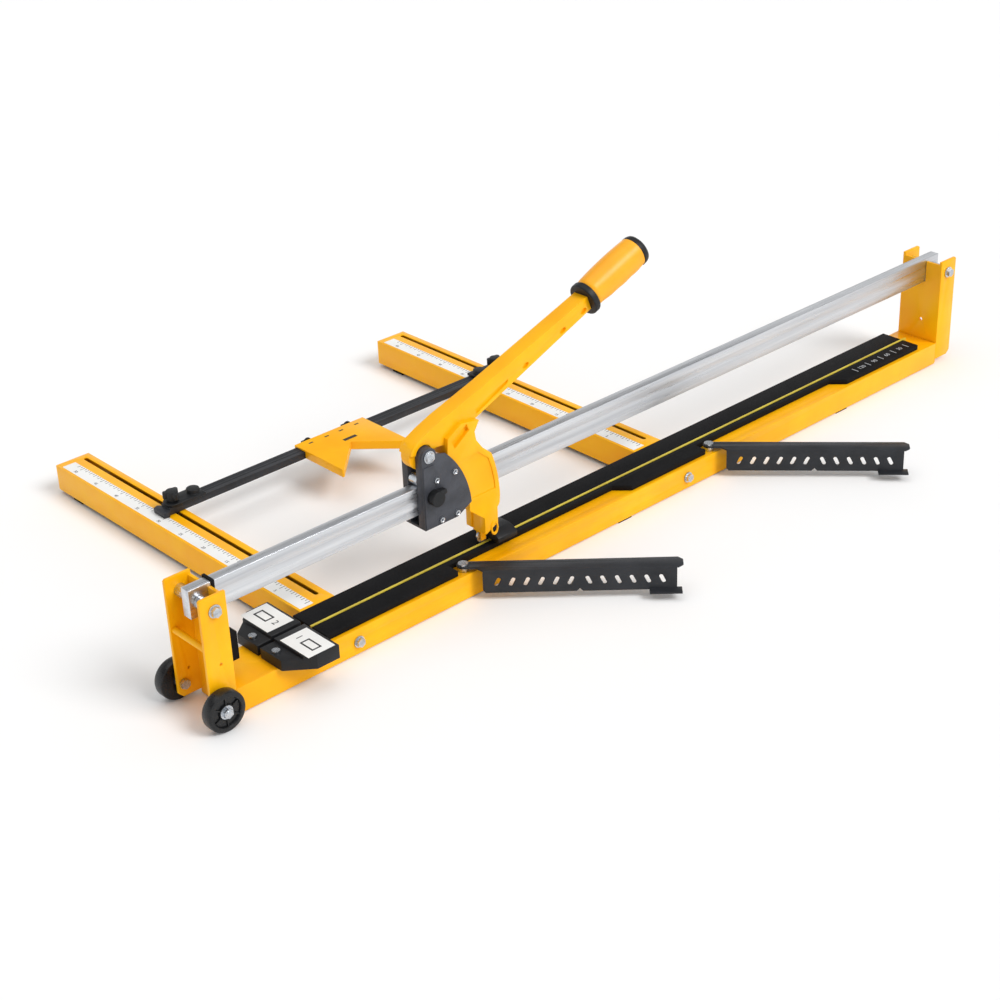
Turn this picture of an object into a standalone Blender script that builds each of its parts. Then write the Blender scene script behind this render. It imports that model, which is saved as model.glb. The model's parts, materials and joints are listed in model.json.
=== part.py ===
"""A manual tile cutter with wheels, a sliding carriage, rear measuring arms and folding side supports.

Machine axes: +X runs along the rail away from the wheels, +Y to the rear arms, +Z up, z = 0 is the floor.
x = 0 is the inner face of the left bracket's web and y = 0 is the centre of the rail.
The empty at the top of the tree moves all of it so that the world's origin is below the middle of its box.
"""

import math

import bmesh
import bpy
from mathutils import Matrix, Vector

# Driving dimensions, in metres
GAP = 0.0003  # between pieces that touch
BOLT_PLAY = 0.0003  # round a bolt in its hole

FRAME_LENGTH = 1.300  # from web to web
FRAME_WIDTH = 0.070
BASE_LIFT = 0.0015
BASE_HEIGHT = 0.033
BASE_SHEET = 0.0025

BRACKET_SHEET = 0.004
BRACKET_DEPTH = 0.035  # how far the flanges reach past the web
BRACKET_TOP = 0.164
FLANGE_BOTTOM = 0.008
WEB_TOP = 0.159

RAIL_WIDTH = 0.014
RAIL_HEIGHT = 0.0364
RAIL_BOTTOM = 0.127
RAIL_OVERHANG = 0.0295
RAIL_BOLT_REACH = 0.0165  # from the web to the bolt
RAIL_BOLT_RADIUS = 0.004
SPACER_RADIUS = 0.008

PAD_THICKNESS = 0.0077
PAD_START = 0.133
PAD_END_MARGIN = 0.038
RIDGE_WIDTH = 0.003
RIDGE_RISE = 0.0005  # above the pads
FRONT_PAD_WIDE = 0.0295  # the front pad's edge, from the centre line
FRONT_PAD_NARROW = 0.0105

CARRY_BAR_RADIUS = 0.004
CARRY_BAR_HEIGHT = 0.098
WHEEL_RADIUS = 0.0255
WHEEL_WIDTH = 0.0155
WHEEL_STANDOFF = 0.004  # from the bracket's flange
WHEEL_REACH = 0.0271  # from the web to the axle
AXLE_RADIUS = 0.004

STOP_START = 0.058
STOP_LENGTH = 0.064
STOP_HALF_WIDTH = 0.068
STOP_HEIGHT = 0.0177
STOP_STEP = 0.004
STOP_SLIT = 0.003
STOP_SCREW_RADIUS = 0.0025

REAR_ARM_STARTS = {"left": 0.1108 * FRAME_LENGTH, "right": 0.5504 * FRAME_LENGTH}
REAR_ARM_WIDTH = 0.052
REAR_ARM_HEIGHT = 0.037
REAR_ARM_SHEET = 0.002
REAR_ARM_REACH = 0.583  # from the centre line to its far end
SLOT_OFFSET = 0.0397
SLOT_WIDTH = 0.006
SLOT_START = 0.052
SLOT_END_MARGIN = 0.010

FENCE_CENTRE = 0.356
FENCE_WIDTH = 0.020
FENCE_HEIGHT = 0.0095
FENCE_LIFT = 0.001
FENCE_END_MARGIN = 0.012  # past the right arm
CLAMP_THICKNESS = 0.004
CLAMP_LENGTH = 0.058
CLAMP_STUD_RADIUS = 0.009
KNOB_RADIUS = 0.0115
KNOB_HEIGHT = 0.014
CLAMP_SCREW_RADIUS = 0.0025
CLAMP_NUT_THICKNESS = 0.005

ANGLE_STOP_CENTRE = 0.453
ANGLE_STOP_WIDTH = 0.120
ANGLE_STOP_REACH = 0.082  # of the wings, in front of the bar
ANGLE_STOP_SHEET = 0.0025
ANGLE_STOP_TIP = 0.003
THUMB_RADIUS = 0.007
THUMB_SPREAD = 0.035

SIDE_ARM_PIVOTS = {"left": 0.2708 * FRAME_LENGTH, "right": 0.6169 * FRAME_LENGTH}
SIDE_ARM_ANGLES = {"left": -43.5, "right": -47.0}
SIDE_ARM_PIVOT_Y = -0.0225
SIDE_ARM_LENGTH = 0.270  # from the pivot to its end
SIDE_ARM_HEIGHT = 0.032
SIDE_ARM_SHEET = 0.002
SIDE_ARM_BACK = 0.0080  # its flange behind the pivot's line
SIDE_ARM_FRONT = 0.0155  # its web in front of the pivot's line
SIDE_ARM_WEB_START = 0.024
SIDE_ARM_SLOTS = 12
SIDE_ARM_SLOT_PITCH = 0.018
SIDE_ARM_SLOT_LENGTH = 0.013
SIDE_ARM_SLOT_WIDTH = 0.005
SIDE_ARM_SLOT_LEAN = 25.0
SIDE_ARM_LIP = 0.012

PIVOT_X = 0.310  # where the carriage stands along the rail
PIVOT_LIFT = 0.0426  # of the lever's pivot, above the rail
PIVOT_RADIUS = 0.005
CHEEK_WIDTH = 0.0225
CHEEK_PLAY = 0.0008  # beside the rail
CHEEK_THICKNESS = 0.0099
CHEEK_DROP = 0.017  # below the rail
WING_RADIUS = 0.124
WING_BACK = 0.060  # of the wing's centre, behind the pivot
WING_DROP = 0.094  # and below it
COVER_THICKNESS = 0.002
TOP_ROLLER_RADIUS = 0.008
LOW_ROLLER_RADIUS = 0.0065
ROLLER_PIN_RADIUS = 0.0025
ADJUSTER_FORWARD = 0.003  # of the adjusting knob, from the pivot
ADJUSTER_DROP = 0.054
ADJUSTER_RADIUS = 0.010

LEVER_ANGLE = 21.2
LEVER_SHAFT_END = 0.298  # from the pivot
LEVER_HALF_WIDTH = 0.011
LEVER_ROOT_HEIGHT = 0.027
LEVER_TIP_HEIGHT = 0.019
BOSS_RADIUS = 0.020
FORK_PLAY = 0.0012  # beside the rail
FORK_TUCK = 0.002  # behind the edge of the carriage's cover
FORK_BAND = 0.050
SPIGOT_RADIUS = 0.0085
SPIGOT_LENGTH = 0.081
COLLAR_RADIUS = 0.022
COLLAR_LENGTH = 0.009
GRIP_RADIUS = 0.0215
GRIP_RISE = 0.0025  # of its middle over the shaft's line
GRIP_LENGTH = 0.098

NOSE_START = 0.0855  # of the fork's nose, from the pivot
NOSE_LENGTH = 0.0215
NOSE_LIFT = 0.0225  # above the pads
NOSE_SLOPE = 0.0095  # rise of its underside
SCORING_WHEEL_RADIUS = 0.008
SCORING_WHEEL_WIDTH = 0.003
SCORING_WHEEL_LIFT = 0.003  # above the pads
SCORING_PIN_RADIUS = 0.002
FOOT_LENGTH = 0.032
FOOT_HALF_WIDTH = 0.022
FOOT_LIFT = 0.005  # above the pads
FOOT_PIN_RADIUS = 0.003

# Worked out from the driving dimensions
HALF_WIDTH = FRAME_WIDTH / 2
BASE_TOP = BASE_LIFT + BASE_HEIGHT
PAD_TOP = BASE_TOP + GAP + PAD_THICKNESS
PAD_END = FRAME_LENGTH - PAD_END_MARGIN
RAIL_TOP = RAIL_BOTTOM + RAIL_HEIGHT
RAIL_MIDDLE = RAIL_BOTTOM + RAIL_HEIGHT / 2
WHEEL_FACE = HALF_WIDTH + WHEEL_STANDOFF
ARM_TOP = PAD_TOP
ARM_BOTTOM = ARM_TOP - REAR_ARM_HEIGHT
ARM_FRONT = HALF_WIDTH + GAP
FENCE_BOTTOM = ARM_TOP + FENCE_LIFT
FENCE_TOP = FENCE_BOTTOM + FENCE_HEIGHT
FENCE_START = REAR_ARM_STARTS["left"] + 0.028
FENCE_END = REAR_ARM_STARTS["right"] + REAR_ARM_WIDTH + FENCE_END_MARGIN
BOX_MIDDLE_X = (FRAME_LENGTH + BRACKET_DEPTH - WHEEL_REACH - WHEEL_RADIUS) / 2
LIP_END = SIDE_ARM_LENGTH - 0.002
SIDE_REACH = SIDE_ARM_PIVOT_Y + min(
    math.sin(math.radians(angle)) * LIP_END
    - math.cos(math.radians(angle)) * (SIDE_ARM_FRONT + SIDE_ARM_LIP)
    for angle in SIDE_ARM_ANGLES.values()
)
BOX_MIDDLE_Y = (REAR_ARM_REACH + SIDE_REACH) / 2
PIVOT_Z = RAIL_TOP + PIVOT_LIFT
CHEEK_INNER = RAIL_WIDTH / 2 + CHEEK_PLAY
CHEEK_OUTER = CHEEK_INNER + CHEEK_THICKNESS
CHEEK_BOTTOM = RAIL_BOTTOM - CHEEK_DROP
FORK_INNER = RAIL_WIDTH / 2 + FORK_PLAY
FORK_OUTER = CHEEK_OUTER - 0.0001
BOSS_HALF_WIDTH = CHEEK_INNER - 0.0004
WING_CENTRE_X = PIVOT_X - WING_BACK
WING_CENTRE_Z = PIVOT_Z - WING_DROP
ADJUSTER_X = PIVOT_X + ADJUSTER_FORWARD
ADJUSTER_Z = PIVOT_Z - ADJUSTER_DROP

for old in list(bpy.data.objects):
    bpy.data.objects.remove(old, do_unlink=True)

parts = bpy.data.collections.new("tile_cutter")
cutters = bpy.data.collections.new("cutters")
bpy.context.scene.collection.children.link(parts)
bpy.context.scene.collection.children.link(cutters)

machine = bpy.data.objects.new("machine", None)
machine.location = (-BOX_MIDDLE_X, -BOX_MIDDLE_Y, 0)
parts.objects.link(machine)


def material(name, red, green, blue, roughness, metallic=0.0):
    made = bpy.data.materials.new(name)
    made.use_nodes = True
    shader = made.node_tree.nodes["Principled BSDF"]
    shader.inputs["Base Color"].default_value = (red, green, blue, 1)
    shader.inputs["Roughness"].default_value = roughness
    shader.inputs["Metallic"].default_value = metallic
    return made


yellow = material("yellow_paint", 0.98, 0.49, 0.01, 0.35)
black_paint = material("black_paint", 0.025, 0.027, 0.033, 0.5)
rubber = material("rubber", 0.012, 0.012, 0.014, 0.75)
plastic = material("black_plastic", 0.03, 0.031, 0.035, 0.45)
aluminium = material("aluminium", 0.66, 0.67, 0.69, 0.3, 1.0)
zinc = material("zinc_steel", 0.55, 0.56, 0.58, 0.3, 1.0)
casting = material("dark_casting", 0.07, 0.072, 0.085, 0.45, 0.3)
ridge_paint = material("ridge_paint", 0.68, 0.54, 0.07, 0.4)


def place(obj, origin=(0, 0, 0), turn=0.0):
    """Stands an object in the machine, turned round a vertical axis through its origin."""
    obj.parent = machine
    obj.location = origin
    obj.rotation_euler = (0, 0, math.radians(turn))
    return obj


def from_bmesh(name, bm, smooth=False):
    mesh = bpy.data.meshes.new(name)
    bmesh.ops.recalc_face_normals(bm, faces=bm.faces)
    bm.to_mesh(mesh)
    bm.free()
    if smooth:
        mesh.shade_smooth()
        mesh.set_sharp_from_angle(angle=math.radians(35))
    return bpy.data.objects.new(name, mesh)


def box(x, y, z, name="box"):
    """A box from its ranges along X, Y and Z."""
    bm = bmesh.new()
    bmesh.ops.create_cube(bm, size=1)
    for vertex in bm.verts:
        vertex.co = Vector(
            sum(side) / 2 + share * (side[1] - side[0]) for side, share in zip((x, y, z), vertex.co)
        )
    return from_bmesh(name, bm)


TURNS = {
    "X": Matrix.Rotation(math.radians(90), 4, "Y"),
    "Y": Matrix.Rotation(math.radians(-90), 4, "X"),
    "Z": Matrix.Identity(4),
}


def rod(axis, centre, radius, span, segments=24, name="rod"):
    """A cylinder along X, Y or Z: centre holds its two other coordinates, span its range along the axis."""
    start, end = min(span), max(span)
    places = {
        "X": (start, centre[0], centre[1]),
        "Y": (centre[0], start, centre[1]),
        "Z": (centre[0], centre[1], start),
    }
    bm = bmesh.new()
    bmesh.ops.create_cone(
        bm, cap_ends=True, segments=segments, radius1=radius, radius2=radius, depth=end - start,
        matrix=Matrix.Translation(places[axis])
        @ TURNS[axis]
        @ Matrix.Translation((0, 0, (end - start) / 2)),
    )
    return from_bmesh(name, bm, smooth=True)


def outline(points, span, plane="XY", name="outline"):
    """A flat outline with a thickness, in the XY, XZ or YZ plane; span is its range along the third axis."""
    curve = bpy.data.curves.new(name, "CURVE")
    curve.dimensions = "2D"
    curve.fill_mode = "BOTH"
    curve.extrude = abs(span[1] - span[0]) / 2
    line = curve.splines.new("POLY")
    line.points.add(len(points) - 1)
    for point, (u, v) in zip(line.points, points):
        point.co = (u, v, 0, 1)
    line.use_cyclic_u = True
    drawn = bpy.data.objects.new(name, curve)
    cutters.objects.link(drawn)
    graph = bpy.context.evaluated_depsgraph_get()
    mesh = bpy.data.meshes.new_from_object(drawn.evaluated_get(graph))
    bpy.data.objects.remove(drawn)
    middle = sum(span) / 2
    turns = {
        "XY": Matrix.Translation((0, 0, middle)),
        "XZ": Matrix.Translation((0, middle, 0)) @ Matrix.Rotation(math.radians(90), 4, "X"),
        "YZ": Matrix.Translation((middle, 0, 0))
        @ Matrix(((0, 0, 1, 0), (1, 0, 0, 0), (0, 1, 0, 0), (0, 0, 0, 1))),
    }
    bm = bmesh.new()
    bm.from_mesh(mesh)
    bmesh.ops.remove_doubles(bm, verts=bm.verts, dist=1e-6)
    bm.transform(turns[plane])
    bpy.data.meshes.remove(mesh)
    return from_bmesh(name, bm)


def arc(centre, radius, start, end, steps):
    """Points along an arc, with angles in degrees."""
    angles = (math.radians(start + (end - start) * i / steps) for i in range(steps + 1))
    return [(centre[0] + radius * math.cos(a), centre[1] + radius * math.sin(a)) for a in angles]


def boolean(target, tool, operation):
    """Cuts the tool from the target, or joins it on; the tool moves with the target, unseen."""
    cutters.objects.link(tool)
    tool.parent = target
    tool.hide_render = True
    tool.display_type = "WIRE"
    change = target.modifiers.new(operation.lower(), "BOOLEAN")
    change.operation = operation
    change.solver = "EXACT"
    change.object = tool


def piece(name, shape, finish, cuts=(), joins=(), origin=(0, 0, 0), turn=0.0):
    """One named sub-part: its first shape, what is joined to it and then what is cut from it.

    Shapes are drawn in machine coordinates unless a turn is given; origin becomes the object's own origin.
    """
    tools = list(joins) + list(cuts)
    if turn == 0.0:
        for drawn in [shape] + tools:
            drawn.data.transform(Matrix.Translation(-Vector(origin)))
    shape.name = name
    shape.data.name = name
    parts.objects.link(shape)
    shape.data.materials.clear()
    shape.data.materials.append(finish)
    for tool in joins:
        boolean(shape, tool, "UNION")
    for tool in cuts:
        boolean(shape, tool, "DIFFERENCE")
    return place(shape, origin, turn)


def bolt(name, axis, centre, radius, ends, head=0.0065, height=0.005, origin=None):
    """A bolt with its nut: a shank between two faces, and beyond each face a six-sided head on a washer."""
    low, high = min(ends) - GAP, max(ends) + GAP
    washer = 0.0012
    shank = rod(axis, centre, radius, (low - washer, high + washer), 16)
    extras = []
    for face, way in ((low, -1), (high, 1)):
        extras.append(rod(axis, centre, head * 1.25, (face, face + way * washer), 20))
        extras.append(rod(axis, centre, head, (face + way * washer / 2, face + way * (washer + height)), 6))
    return piece(name, shank, zinc, joins=extras, origin=origin or (0, 0, 0))


# Base beam: a folded sheet channel that opens downwards
foot_places = {"middle": 0.481 * FRAME_LENGTH, "right": 0.828 * FRAME_LENGTH}
arm_bolt_places = {side: start + REAR_ARM_WIDTH / 2 + 0.005 for side, start in REAR_ARM_STARTS.items()}
arm_bolt_z = BASE_LIFT + BASE_HEIGHT / 2
stop_screw_places = {"front": -STOP_HALF_WIDTH / 3, "back": STOP_HALF_WIDTH / 3}
stop_screw_x = STOP_START + 0.008
base_end = FRAME_LENGTH - GAP
base_cuts = [
    box(
        (-0.01, FRAME_LENGTH + 0.01),
        (-HALF_WIDTH + BASE_SHEET, HALF_WIDTH - BASE_SHEET),
        (-0.01, BASE_TOP - BASE_SHEET),
    )
]
for x in arm_bolt_places.values():
    base_cuts.append(
        rod("Y", (x, arm_bolt_z), AXLE_RADIUS + BOLT_PLAY, (-HALF_WIDTH - 0.01, HALF_WIDTH + 0.01), 16)
    )
for y in stop_screw_places.values():
    base_cuts.append(
        rod("Z", (stop_screw_x, y), STOP_SCREW_RADIUS + BOLT_PLAY, (BASE_TOP - 0.01, BASE_TOP + 0.01), 16)
    )
for x in SIDE_ARM_PIVOTS.values():
    base_cuts.append(
        rod("Z", (x, SIDE_ARM_PIVOT_Y), AXLE_RADIUS + BOLT_PLAY, (BASE_TOP - 0.01, BASE_TOP + 0.01), 16)
    )
piece(
    "base_beam",
    box((GAP, base_end), (-HALF_WIDTH, HALF_WIDTH), (BASE_LIFT, BASE_TOP)),
    yellow,
    cuts=base_cuts,
)

# Breaking ridge and the two rubber pads beside it
piece(
    "breaking_ridge",
    box(
        (PAD_START, PAD_END + 0.008),
        (-RIDGE_WIDTH / 2, RIDGE_WIDTH / 2),
        (BASE_TOP + GAP, PAD_TOP + RIDGE_RISE),
    ),
    ridge_paint,
)
pad_inner = RIDGE_WIDTH / 2 + GAP
piece(
    "back_pad",
    box((PAD_START, PAD_END), (pad_inner, HALF_WIDTH), (BASE_TOP + GAP, PAD_TOP)),
    rubber,
)
pocket_before = 0.014
pocket_slope = 0.018
pad_edge = [(PAD_START, -pad_inner), (PAD_START, -FRONT_PAD_WIDE)]
for x in SIDE_ARM_PIVOTS.values():
    pocket_end = x + SIDE_ARM_LENGTH + 0.004
    pad_edge += [
        (x - pocket_before, -FRONT_PAD_WIDE),
        (x - pocket_before, -FRONT_PAD_NARROW),
        (pocket_end, -FRONT_PAD_NARROW),
        (pocket_end + pocket_slope, -FRONT_PAD_WIDE),
    ]
pad_edge += [(PAD_END, -FRONT_PAD_WIDE), (PAD_END, -pad_inner)]
piece("front_pad", outline(pad_edge, (BASE_TOP + GAP, PAD_TOP)), rubber)

# Rubber feet under the base beam
for side, x in foot_places.items():
    inner = HALF_WIDTH - BASE_SHEET - GAP
    piece(
        f"base_foot_{side}",
        box((x - 0.012, x + 0.012), (-HALF_WIDTH, HALF_WIDTH), (0, BASE_LIFT - GAP)),
        rubber,
        joins=[box((x - 0.010, x + 0.010), (-inner, inner), (0.0005, 0.010))],
    )

# End brackets: a channel on its end, its web towards the machine and its flanges outwards
rail_bolt_places = {"left": -RAIL_BOLT_REACH, "right": FRAME_LENGTH + RAIL_BOLT_REACH}
notch = RAIL_WIDTH / 2 + GAP


def bracket(side, web_face, way):
    """One bracket, from the inner face of its web; way is -1 where its flanges reach to -X and 1 to +X."""

    def span(near, far):
        return sorted((web_face + way * near, web_face + way * far))

    web_side = HALF_WIDTH - BRACKET_SHEET / 2
    body = box(span(0, BRACKET_SHEET), (-web_side, web_side), (BASE_LIFT, WEB_TOP))
    corner = 0.006
    flange = [
        (0.001, FLANGE_BOTTOM),
        (BRACKET_DEPTH - corner, FLANGE_BOTTOM),
        (BRACKET_DEPTH, FLANGE_BOTTOM + corner),
        (BRACKET_DEPTH, BRACKET_TOP - corner / 3),
        (BRACKET_DEPTH - corner / 3, BRACKET_TOP),
        (0.0, BRACKET_TOP),
        (0.0, FLANGE_BOTTOM + 0.004),
    ]
    drawn = [(web_face + way * u, v) for u, v in flange]
    flanges = [
        outline(drawn, (-HALF_WIDTH, -HALF_WIDTH + BRACKET_SHEET), "XZ"),
        outline(drawn, (HALF_WIDTH - BRACKET_SHEET, HALF_WIDTH), "XZ"),
    ]
    through = (-HALF_WIDTH - 0.01, HALF_WIDTH + 0.01)
    bolt_x = rail_bolt_places[side]
    cuts = [
        box(span(-0.01, 0.02), (-notch, notch), (RAIL_BOTTOM - GAP, BRACKET_TOP + 0.01)),
        rod("Y", (bolt_x, RAIL_MIDDLE), RAIL_BOLT_RADIUS + BOLT_PLAY, through, 16),
    ]
    return body, flanges, cuts


body, flanges, cuts = bracket("left", 0.0, -1)
wheel_axis = (-WHEEL_REACH, WHEEL_RADIUS)
cuts.append(rod("Y", wheel_axis, AXLE_RADIUS + BOLT_PLAY, (-HALF_WIDTH - 0.01, HALF_WIDTH + 0.01), 16))
cuts.append(rod("Y", (-0.016, 0.0755), 0.002, (-HALF_WIDTH - 0.01, 0), 12))
cuts.append(rod("Y", (-0.018, 0.0425), 0.002, (0, HALF_WIDTH + 0.01), 12))
piece("left_bracket", body, yellow, joins=flanges, cuts=cuts)

body, flanges, cuts = bracket("right", FRAME_LENGTH, 1)
cuts.append(rod("X", (-0.004, 0.0655), 0.0028, (FRAME_LENGTH - 0.01, FRAME_LENGTH + 0.01), 16))
piece("right_bracket", body, yellow, joins=flanges, cuts=cuts)

inside = HALF_WIDTH - BRACKET_SHEET - GAP
piece(
    "carry_bar",
    rod(
        "Y",
        (-BRACKET_DEPTH + CARRY_BAR_RADIUS + 0.0014, CARRY_BAR_HEIGHT),
        CARRY_BAR_RADIUS,
        (-inside, inside),
    ),
    yellow,
)

# Guide rail, its bolts, their spacers, the rubber ring round it and the buffer below it
piece(
    "guide_rail",
    box(
        (-RAIL_OVERHANG, FRAME_LENGTH + RAIL_OVERHANG),
        (-RAIL_WIDTH / 2, RAIL_WIDTH / 2),
        (RAIL_BOTTOM, RAIL_TOP),
    ),
    aluminium,
    cuts=[
        rod("Y", (x, RAIL_MIDDLE), RAIL_BOLT_RADIUS + BOLT_PLAY, (-RAIL_WIDTH, RAIL_WIDTH), 16)
        for x in rail_bolt_places.values()
    ],
)
for side, x in rail_bolt_places.items():
    centre = (x, RAIL_MIDDLE)
    bolt(f"rail_bolt_{side}", "Y", centre, RAIL_BOLT_RADIUS, (-HALF_WIDTH, HALF_WIDTH))
    for where, way in (("front", -1), ("back", 1)):
        piece(
            f"rail_spacer_{side}_{where}",
            rod("Y", centre, SPACER_RADIUS, (way * (RAIL_WIDTH / 2 + GAP), way * inside), 20),
            zinc,
            cuts=[rod("Y", centre, RAIL_BOLT_RADIUS + BOLT_PLAY, (-0.05, 0.05), 16)],
        )
ring = 0.0022
ring_inner = RAIL_WIDTH / 2 + GAP
piece(
    "rail_ring",
    box(
        (GAP, 0.004),
        (-ring_inner - ring, ring_inner + ring),
        (RAIL_BOTTOM - GAP - ring, RAIL_TOP + GAP + ring),
    ),
    rubber,
    cuts=[box((-0.01, 0.01), (-ring_inner, ring_inner), (RAIL_BOTTOM - GAP, RAIL_TOP + GAP))],
)
piece("end_buffer", box((GAP, 0.026), (-0.008, 0.008), (0.052, 0.088)), rubber)

# Stop blocks across the base, one on each side of the centre
stop_end = STOP_START + STOP_LENGTH
stop_bottom = BASE_TOP + GAP
for where, y in stop_screw_places.items():
    way = math.copysign(1, y)
    edge = [
        (STOP_START, way * STOP_SLIT),
        (STOP_START, way * STOP_HALF_WIDTH * 0.62),
        (STOP_START + STOP_LENGTH * 0.5, way * STOP_HALF_WIDTH),
        (stop_end, way * STOP_HALF_WIDTH),
        (stop_end, way * STOP_SLIT),
    ]
    step = box(
        (STOP_START - 0.01, stop_screw_x + 0.012),
        (-0.1, 0.1),
        (stop_bottom + STOP_HEIGHT - STOP_STEP, stop_bottom + STOP_HEIGHT + 0.01),
    )
    hole = rod("Z", (stop_screw_x, y), STOP_SCREW_RADIUS + BOLT_PLAY, (0, 0.1), 16)
    piece(
        f"stop_block_{where}",
        outline(edge, (stop_bottom, stop_bottom + STOP_HEIGHT)),
        plastic,
        cuts=[step, hole],
    )
    seat = stop_bottom + STOP_HEIGHT - STOP_STEP + GAP
    piece(
        f"stop_screw_{where}",
        rod("Z", (stop_screw_x, y), STOP_SCREW_RADIUS, (BASE_TOP - BASE_SHEET - 0.003, seat + 0.001), 16),
        zinc,
        joins=[rod("Z", (stop_screw_x, y), 0.005, (seat, seat + 0.0022), 20)],
    )

# Transport wheels on bolts through the left bracket's flanges
for where, way in (("front", -1), ("back", 1)):
    inner_face = way * WHEEL_FACE
    outer_face = way * (WHEEL_FACE + WHEEL_WIDTH)
    dish = 0.003
    piece(
        f"wheel_{where}",
        rod("Y", wheel_axis, WHEEL_RADIUS, (inner_face, outer_face), 36),
        plastic,
            cuts=[
            rod("Y", wheel_axis, WHEEL_RADIUS * 0.7, (outer_face - way * dish, outer_face + way * 0.01), 28),
            rod("Y", wheel_axis, AXLE_RADIUS + BOLT_PLAY, (way * 0.02, way * 0.08), 16),
        ],
        origin=(wheel_axis[0], way * (WHEEL_FACE + WHEEL_WIDTH / 2), wheel_axis[1]),
    )
    nut_start = outer_face - way * (dish - GAP)
    inner_nut = way * inside
    piece(
        f"wheel_axle_{where}",
        rod("Y", wheel_axis, AXLE_RADIUS, (way * (inside - 0.005), nut_start + way * 0.006), 16),
        zinc,
        joins=[
            rod("Y", wheel_axis, 0.0065, (inner_nut, inner_nut - way * 0.005), 6),
            rod("Y", wheel_axis, 0.007, (way * (HALF_WIDTH + GAP), inner_face - way * GAP), 20),
            rod("Y", wheel_axis, 0.0085, (nut_start, nut_start + way * 0.0012), 20),
            rod("Y", wheel_axis, 0.0065, (nut_start, nut_start + way * 0.0055), 6),
        ],
    )

# Rear arms with the slot for the fence's clamps, each held by one long bolt through the base beam
for side, start in REAR_ARM_STARTS.items():
    end = start + REAR_ARM_WIDTH
    slot_x = start + SLOT_OFFSET
    slot_end = REAR_ARM_REACH - SLOT_END_MARGIN
    slot_radius = SLOT_WIDTH / 2
    slot = (
        arc((slot_x, SLOT_START + slot_radius), slot_radius, 180, 360, 8)
        + arc((slot_x, slot_end - slot_radius), slot_radius, 0, 180, 8)
    )
    bolt_x = arm_bolt_places[side]
    piece(
        f"{side}_rear_arm",
        box((start, end), (ARM_FRONT, REAR_ARM_REACH), (ARM_BOTTOM, ARM_TOP)),
        yellow,
        cuts=[
            box(
                (start + REAR_ARM_SHEET, end - REAR_ARM_SHEET),
                (ARM_FRONT + REAR_ARM_SHEET, REAR_ARM_REACH - REAR_ARM_SHEET),
                (ARM_BOTTOM - 0.01, ARM_TOP - REAR_ARM_SHEET),
            ),
            outline(slot, (ARM_TOP - 0.01, ARM_TOP + 0.01)),
            rod("Y", (bolt_x, arm_bolt_z), AXLE_RADIUS + BOLT_PLAY, (0.02, ARM_FRONT + 0.01), 16),
        ],
    )
    bolt(
        f"{side}_arm_bolt", "Y", (bolt_x, arm_bolt_z), AXLE_RADIUS,
        (-HALF_WIDTH, ARM_FRONT + REAR_ARM_SHEET), head=0.006, height=0.0045,
    )
    foot_end = REAR_ARM_REACH - 0.030
    plug = (start + REAR_ARM_SHEET + GAP, end - REAR_ARM_SHEET - GAP)
    piece(
        f"{side}_arm_foot",
        box((start + 0.008, end - 0.008), (foot_end - 0.026, foot_end), (0, ARM_BOTTOM - GAP)),
        rubber,
        joins=[box(plug, (foot_end - 0.024, foot_end - 0.002), (0.001, ARM_BOTTOM + 0.010))],
    )

# Fence bar across the rear arms
fence_front = FENCE_CENTRE - FENCE_WIDTH / 2
fence_back = FENCE_CENTRE + FENCE_WIDTH / 2
slot_places = {side: start + SLOT_OFFSET for side, start in REAR_ARM_STARTS.items()}
fence_origin = (FENCE_START, FENCE_CENTRE, FENCE_BOTTOM)
screw_hole = CLAMP_SCREW_RADIUS + 0.0004
pointer = [
    (FENCE_START - 0.011, FENCE_CENTRE - 0.012),
    (FENCE_START - 0.004, FENCE_CENTRE - 0.014),
    (FENCE_START + 0.002, FENCE_CENTRE - 0.008),
    (FENCE_START + 0.002, FENCE_CENTRE + 0.008),
    (FENCE_START - 0.004, FENCE_CENTRE + 0.014),
    (FENCE_START - 0.011, FENCE_CENTRE + 0.012),
]
piece(
    "fence_bar",
    box((FENCE_START, FENCE_END), (fence_front, fence_back), (FENCE_BOTTOM, FENCE_TOP)),
    black_paint,
    joins=[outline(pointer, (FENCE_BOTTOM, FENCE_BOTTOM + 0.007))],
    cuts=[
        rod("Z", (x, FENCE_CENTRE), screw_hole, (FENCE_BOTTOM - 0.01, FENCE_TOP + 0.01), 16)
        for x in slot_places.values()
    ],
    origin=fence_origin,
)
clamp_bottom = FENCE_TOP + GAP
clamp_top = clamp_bottom + CLAMP_THICKNESS
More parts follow.
